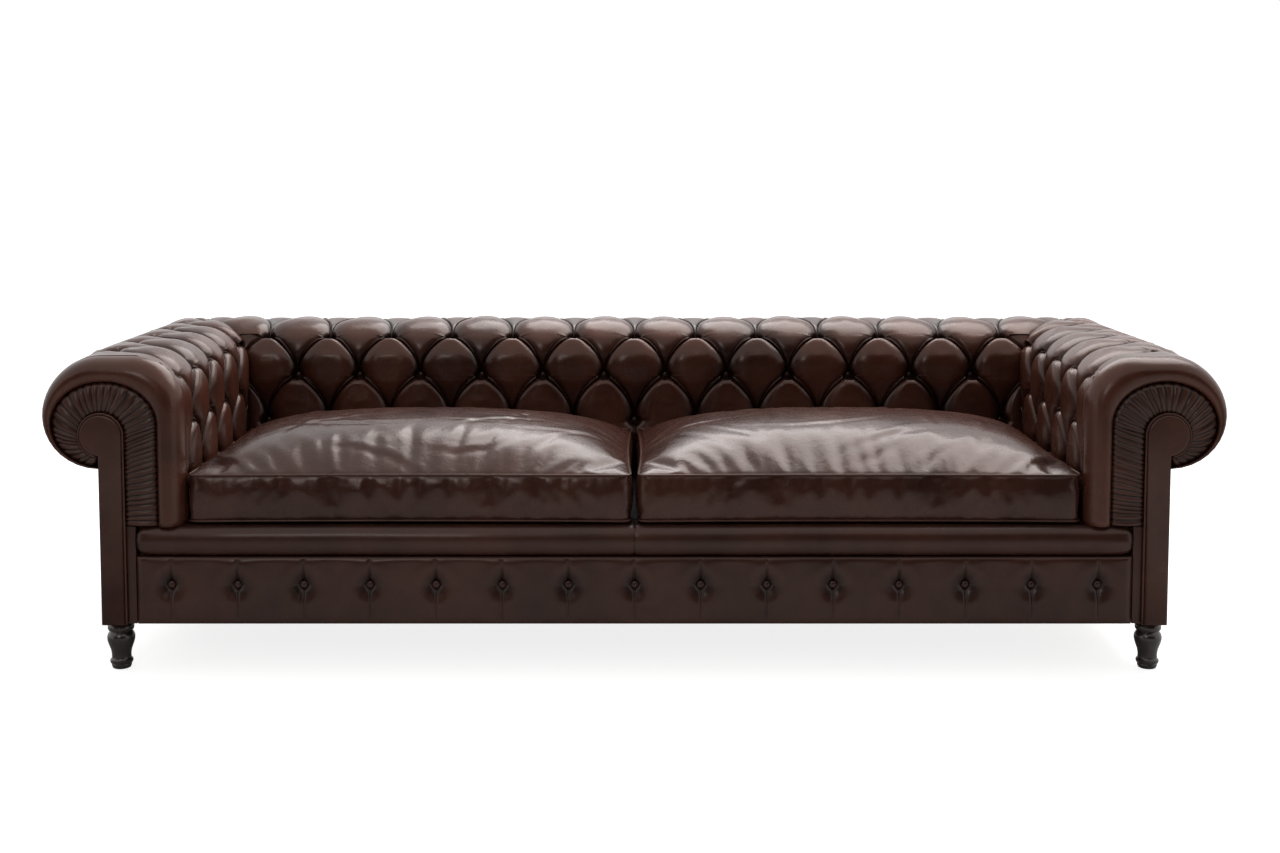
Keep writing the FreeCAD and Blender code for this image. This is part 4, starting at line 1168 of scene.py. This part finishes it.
# %% The case of a cushion
CUSHION_LOW, CUSHION_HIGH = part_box("left_seat_cushion")
SEAM_LOW = 341 * MM
SEAM_HIGH = 444 * MM
SEAM_SETBACK = 3 * MM     # the seams lie this far inside the cushion's box
CELL = 11 * MM
BORDER_CELLS = 9
SEAM_CORNER = 20 * MM
DRAWN_IN = 8 * MM         # how far a seam is drawn in half way between two corners


def cushion_case():
    """Points and faces of the left cushion's case, and which points lie on its seams."""
    x0, x1 = CUSHION_LOW.x + SEAM_SETBACK, CUSHION_HIGH.x - SEAM_SETBACK
    y0, y1 = CUSHION_LOW.y + SEAM_SETBACK, CUSHION_HIGH.y - SEAM_SETBACK
    a, b = (x1 - x0) / 2, (y1 - y0) / 2
    nx, ny, nz = round(2 * a / CELL), round(2 * b / CELL), BORDER_CELLS
    index, points, seams, faces = {}, [], [], []

    def place(i, j, k):
        u, v = 2 * i / nx - 1, 2 * j / ny - 1
        x, y = a * u, b * v
        near = np.array([abs(x) - a + SEAM_CORNER, abs(y) - b + SEAM_CORNER])
        if near.min() > 0:
            round_off = near.max() / max(np.hypot(*near), 1e-9)
            x = math.copysign(a - SEAM_CORNER + near[0] * round_off, x)
            y = math.copysign(b - SEAM_CORNER + near[1] * round_off, y)
        x -= math.copysign(DRAWN_IN * (1 - v * v) * abs(u) ** 6, x)
        y -= math.copysign(DRAWN_IN * (1 - u * u) * abs(v) ** 6, y)
        z = SEAM_LOW + (SEAM_HIGH - SEAM_LOW) * (k / nz)
        rise = (1 - abs(u) ** 3.0) ** 0.75 * (1 - abs(v) ** 2.6) ** 0.75
        if k == nz:
            z += (CUSHION_HIGH.z - SEAM_HIGH - 8 * MM) * rise
        if k == 0:
            z -= (SEAM_LOW - SEAT - 1.2 * MM) * min(1.0, 3 * rise)
        return x + (x0 + x1) / 2, y + (y0 + y1) / 2, z

    def add_face(*corners):
        """Add a face, and the points of it that are new."""
        for corner in corners:
            if corner not in index:
                i, j, k = corner
                index[corner] = len(points)
                points.append(place(i, j, k))
                seams.append((i in (0, nx) or j in (0, ny)) and k in (0, nz))
        faces.append([index[corner] for corner in corners])

    for i in range(nx):
        for j in range(ny):
            add_face((i, j, nz), (i + 1, j, nz), (i + 1, j + 1, nz), (i, j + 1, nz))
            add_face((i, j, 0), (i, j + 1, 0), (i + 1, j + 1, 0), (i + 1, j, 0))
    rim = [(i, 0) for i in range(nx)] + [(nx, j) for j in range(ny)]
    rim += [(i, ny) for i in range(nx, 0, -1)] + [(0, j) for j in range(ny, 0, -1)]
    for start, stop in zip(rim, rim[1:] + rim[:1]):
        for k in range(nz):
            add_face((*start, k), (*stop, k), (*stop, k + 1), (*start, k + 1))
    loops = [[points[index[i, j, k]] for i, j in rim] for k in (0, nz)]
    return np.array(points), faces, np.array(seams), loops


case_points, case_faces, case_seams, seam_loops = cushion_case()
print("cushion case", len(case_points), "points")

# %% [markdown]
# Hide that has been sat on keeps shallow creases. On top they run round the crown, and on
# the front border they stand upright. Each one is a groove with a low ridge beside it.

# %% Creases
TOP_CREASES = 26
BORDER_CREASES = 16


def crease(flat, spot, way, length, rng):
    """How far one crease sinks the points of a plane. It bends a little."""
    along = (flat - spot) @ np.array([math.cos(way), math.sin(way)])
    aside = (flat - spot) @ np.array([-math.sin(way), math.cos(way)])
    aside = aside + rng.uniform(-0.25, 0.25) * along ** 2 / length
    wide = rng.uniform(6, 10) * MM
    fade = np.exp(-(along / length) ** 2)
    ridge = np.exp(-((aside - 1.8 * wide) / (1.3 * wide)) ** 2)
    groove = np.exp(-(aside / wide) ** 2) - 0.7 * ridge
    return rng.uniform(1.5, 3.2) * MM * groove * fade


def creases(points, faces_up, seed):
    """How far all the creases together sink each point."""
    rng = np.random.default_rng(seed)
    sink = np.zeros(len(points))
    low, high = points.min(0), points.max(0)
    middle, reach = (low + high) / 2, (high - low) / 2
    for _ in range(TOP_CREASES):
        turn = rng.uniform(0, 2 * math.pi)
        out = np.array([math.cos(turn), math.sin(turn)])
        spot = middle[:2] + reach[:2] * out * rng.uniform(0.35, 0.9)
        way = turn + math.pi / 2 + rng.normal(0, 0.7)
        sink += crease(points[:, :2], spot, way, rng.uniform(50, 150) * MM, rng) * faces_up
    border = (1 - faces_up) * (points[:, 1] < middle[1])
    for _ in range(BORDER_CREASES):
        x = rng.uniform(low[0], high[0])
        spot = np.array([x, SEAM_LOW + rng.uniform(0.2, 0.8) * (SEAM_HIGH - SEAM_LOW)])
        way = math.pi / 2 + rng.normal(0, 0.3)
        sink += crease(points[:, [0, 2]], spot, way, rng.uniform(30, 60) * MM, rng) * border
    return sink


# %% [markdown]
# The filling is air under pressure. The cloth keeps its own length, the seams don't move, and
# no point may travel further than the padding would let it.

# %% Fill the cushions
CLOTH_FRAMES = 20
MOST_TRAVEL = 24 * MM
CLOTH_SETTINGS = {
    "quality": 6, "mass": 0.4, "tension_stiffness": 12, "compression_stiffness": 12,
    "shear_stiffness": 6, "bending_stiffness": 2.5, "vertex_group_mass": "seams",
    "shrink_min": -0.02, "use_pressure": True, "uniform_pressure_force": 4.0,
}


def fill_case(piece, seed):
    """Blow the case up with its seams held, and keep every point within reach."""
    rest = np.array([v.co for v in piece.data.vertices])
    held = piece.vertex_groups.new(name="seams")
    held.add([int(i) for i in np.flatnonzero(case_seams)], 1.0, "REPLACE")
    modifier = piece.modifiers.new("filling", "CLOTH")
    for name, value in CLOTH_SETTINGS.items():
        setattr(modifier.settings, name, value)
    modifier.settings.effector_weights.gravity = 0.0
    modifier.collision_settings.use_collision = False
    for number in range(1, CLOTH_FRAMES + 1):
        bpy.context.scene.frame_set(number)
    apply_modifier(piece, modifier)
    bpy.context.scene.frame_set(1)
    moved = np.array([v.co for v in piece.data.vertices]) - rest
    far = np.linalg.norm(moved, axis=1)
    limit = MOST_TRAVEL * np.tanh(far / MOST_TRAVEL) / np.maximum(far, 1e-9)
    points = rest + moved * limit[:, None]
    normals = np.array([v.normal for v in piece.data.vertices])
    faces_up = smooth(normals[:, 2] * 2)
    sunk = creases(points, faces_up, seed) * (1.0 - case_seams) * (normals[:, 2] > -0.3)
    points = points - normals * sunk[:, None]
    points[:, 2] = np.maximum(points[:, 2], SEAT + 0.8 * MM)
    piece.data.vertices.foreach_set("co", points.astype(np.float32).ravel())
    piece.vertex_groups.clear()
    print(piece.name, "moved at most", round(float(far.max()) * 1000, 1), "mm")


def seat_cushion(name, side, seed):
    """One filled cushion. The right one is the left one's case, mirrored."""
    points = case_points * (-side, 1, 1)
    faces = case_faces if side < 0 else [f[::-1] for f in case_faces]
    piece = add_piece(name, points.tolist(), [], faces)
    fill_case(piece, seed)
    rounder = piece.modifiers.new("rounder", "SUBSURF")
    rounder.levels = rounder.render_levels = 1
    apply_modifier(piece, rounder)
    return tidy_mesh(piece)


for side_name, side in SIDES:
    body = side_name + "_cushion"
    finish_piece(seat_cushion(body + "_cover", side, 5 if side < 0 else 8), "cushion_leather",
                 side_name + "_seat_cushion", fill=0.75, body=body)
    loops = [[(-side * x, y, z) for x, y, z in loop] for loop in seam_loops]
    finish_piece(piping(body + "_cord", loops, closed=True), "piping_leather",
                 body + "_piping", body=body)

# %% [markdown]
# ## Turned feet
# Each foot is turned on a lathe: a small toe, a vase that swells and narrows, and a bead
# under the frame. Its profile is drawn as a line and spun once round.

# %% Feet
FOOT_PROFILE = ((17.5, 0), (19.5, 1), (21.5, 5), (22, 9), (21.2, 10.5), (24, 12.5), (25.3, 16),
                (24.8, 20), (22, 22.5), (21.2, 26), (21.4, 34), (23, 43), (25.5, 50), (28.3, 58),
                (30.3, 66), (30.5, 73), (28.8, 79), (25.6, 83.5), (24.2, 86), (27, 87.5),
                (28.6, 90.5), (29, 94), (28.6, 98), (27, 101), (23.8, 102.5), (23.8, 104.5),
                (26.5, 106), (27.2, 109), (26.8, 113))


def turned_foot(name, x, y):
    line = [(0.0, 0.0, 0.0)] + [(r * MM, 0.0, z * MM) for r, z in FOOT_PROFILE]
    line.append((0.0, 0.0, FOOT_TOP))
    piece = add_piece(name, line, [(i, i + 1) for i in range(len(line) - 1)], [])
    start_edit(piece)
    choose_all()
    bpy.ops.mesh.spin(steps=64, angle=2 * math.pi, center=(0, 0, 0), axis=(0, 0, 1))
    choose_all()
    bpy.ops.mesh.remove_doubles(threshold=TOUCH)
    bpy.ops.mesh.normals_make_consistent(inside=False)
    end_edit(piece)
    piece.data.transform(Matrix.Translation((x, y, 0)))
    tidy_mesh(piece)
    activate(piece)
    bpy.ops.object.shade_smooth_by_angle(angle=math.radians(38))
    bpy.ops.object.select_all(action="DESELECT")
    return piece


for row in ("front", "rear"):
    low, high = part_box(row + "_feet")
    y = (low.y + high.y) / 2
    x = high.x - (high.y - low.y) / 2
    for side_name, side in SIDES:
        foot = turned_foot(f"{row}_{side_name}_turned_foot", side * x, y)
        finish_piece(foot, "turned_foot", row + "_feet")

# %% [markdown]
# ## Outside panels, deck and dust cover
# The outside of the arms and back is plain leather, stretched over the frame and closed
# under the roll. Under the cushions the seat is covered with black deck cloth over springy
# webbing, so it gives a little in its middle. Thin felt closes the underside.

# %% Outside panels
HEM = 1.5 * MM            # an arm's panel lies this far over the edge of its front board
HEM_WIDTH = 3 * MM

for node_name in ("left_outside_arm", "right_outside_arm", "outside_back"):
    low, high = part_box(node_name)
    if "arm" in node_name:
        low.y = BOARD_Y - HEM_WIDTH
        low.x -= HEM if low.x < 0 else 0
        high.x += HEM if low.x > 0 else 0
    panel = soft_box(node_name + "_cover", low, high, 1.2 * MM)
    finish_piece(panel, "panel_leather", node_name)


# %% Deck and dust cover
def sagging_sheet(name, node, sag, columns, rows):
    """A flat pad whose middle hangs lower than its edges."""
    low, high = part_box(node)
    x = np.linspace(low.x, high.x, columns)
    y = np.linspace(low.y, high.y, rows)
    u, v = np.linspace(-1, 1, columns), np.linspace(-1, 1, rows)
    hang = sag * (1 - u[:, None] ** 4) * (1 - v[None, :] ** 4)
    rings = []
    for i in range(columns):
        top = [(x[i], y[j], high.z - hang[i, j]) for j in range(rows)]
        under = [(x[i], y[j], low.z - hang[i, j]) for j in range(rows)][::-1]
        rings.append(top + under)
    return mesh_of_rings(name, [np.array(rings)])


finish_piece(sagging_sheet("deck_cover", "seat_deck", 3 * MM, 60, 30), "deck_cloth",
             "seat_deck", fill=0.5)
finish_piece(sagging_sheet("underside_felt", "dust_cover", 2 * MM, 40, 20), "dust_cloth",
             "dust_cover")

# %% [markdown]
# ## Light and floor
# The studio is white, with one very large soft lamp overhead. Leather shows its form by
# what it mirrors, so its reflections see the white behind the sofa, and in front of it a
# black panel that no camera sees. The floor glows a little more for the camera than it
# lights the sofa, so it is nearly white and still keeps a soft shadow.

# %% Light and floor
WHITE = (1, 1, 1, 1)


def area_lamp(name, place, aim, size, power):
    data = bpy.data.lights.new(name, "AREA")
    data.shape = "RECTANGLE"
    data.size, data.size_y = size
    data.energy = power
    lamp = link(bpy.data.objects.new(name, data))
    lamp.location = place
    lamp.rotation_euler = (Vector(aim) - Vector(place)).to_track_quat("-Z", "Y").to_euler()


area_lamp("overhead", (0.9, 1.2, 3.0), (0.1, -0.1, 0.5), (4.2, 2.0), 120)
area_lamp("front_fill", (-1.5, -5.0, 2.6), (0, 0, 0.3), (1.2, 1.2), 22)


def studio_plane(name, place, turn, size, finish):
    """A plane of the studio, which is no part of the sofa."""
    bpy.ops.mesh.primitive_plane_add(size=1.0, location=place, rotation=turn)
    plane = bpy.context.object
    plane.name = name
    plane.scale = (*size, 1.0)
    place_mesh(plane)
    plane.data.materials.append(finish)
    plane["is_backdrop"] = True
    return plane


black = new_material("black_studio_panel")
close_material(black, add_node(black, "BsdfDiffuse", Color=linear("#0a0a0a")))
panel = studio_plane("front_panel_of_studio", (0, -6.5, 2.2), (math.pi / 2, 0, 0), (16, 4.4),
                     black)
panel.visible_camera = False

floor_finish = new_material("pale_studio_floor")
paint = add_node(floor_finish, "BsdfPrincipled", Base_Color=linear("#f4f3f2"), Roughness=0.6)
glow = add_node(floor_finish, "Emission", Color=WHITE, Strength=0.82)
bright = add_node(floor_finish, "AddShader", _0=paint.outputs[0], _1=glow.outputs[0])
eye = add_node(floor_finish, "LightPath")
close_material(floor_finish, add_node(floor_finish, "MixShader", _0=eye.outputs["Is Camera Ray"],
                                      _1=paint.outputs[0], _2=bright.outputs[0]))
studio_plane("floor", (0, 0, 0), (0, 0, 0), (40, 40), floor_finish)

world = bpy.data.worlds.new("studio")
bpy.context.scene.world = world
world.use_nodes = True
world.node_tree.nodes.clear()
rays = add_node(world, "LightPath")
seen = rays.outputs["Is Camera Ray"]
for ray in ("Is Transmission Ray", "Is Glossy Ray"):
    seen = add_node(world, "Math", {"operation": "MAXIMUM"}, _0=seen,
                    _1=rays.outputs[ray]).outputs[0]
dim = add_node(world, "Background", Color=WHITE, Strength=0.3)
white = add_node(world, "Background", Color=WHITE, Strength=1.0)
sky = add_node(world, "MixShader", _0=seen, _1=dim.outputs[0], _2=white.outputs[0])
add_node(world, "OutputWorld", Surface=sky.outputs[0])
bpy.context.scene.view_settings.view_transform = "Standard"
print("light and floor")

# %% [markdown]
# ## Size of the finished sofa
# The finished sofa is measured, and its box is printed.

# %% Size of the finished sofa
low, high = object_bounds()
print("visual box", [round(v, 3) for v in (*low, *high)])
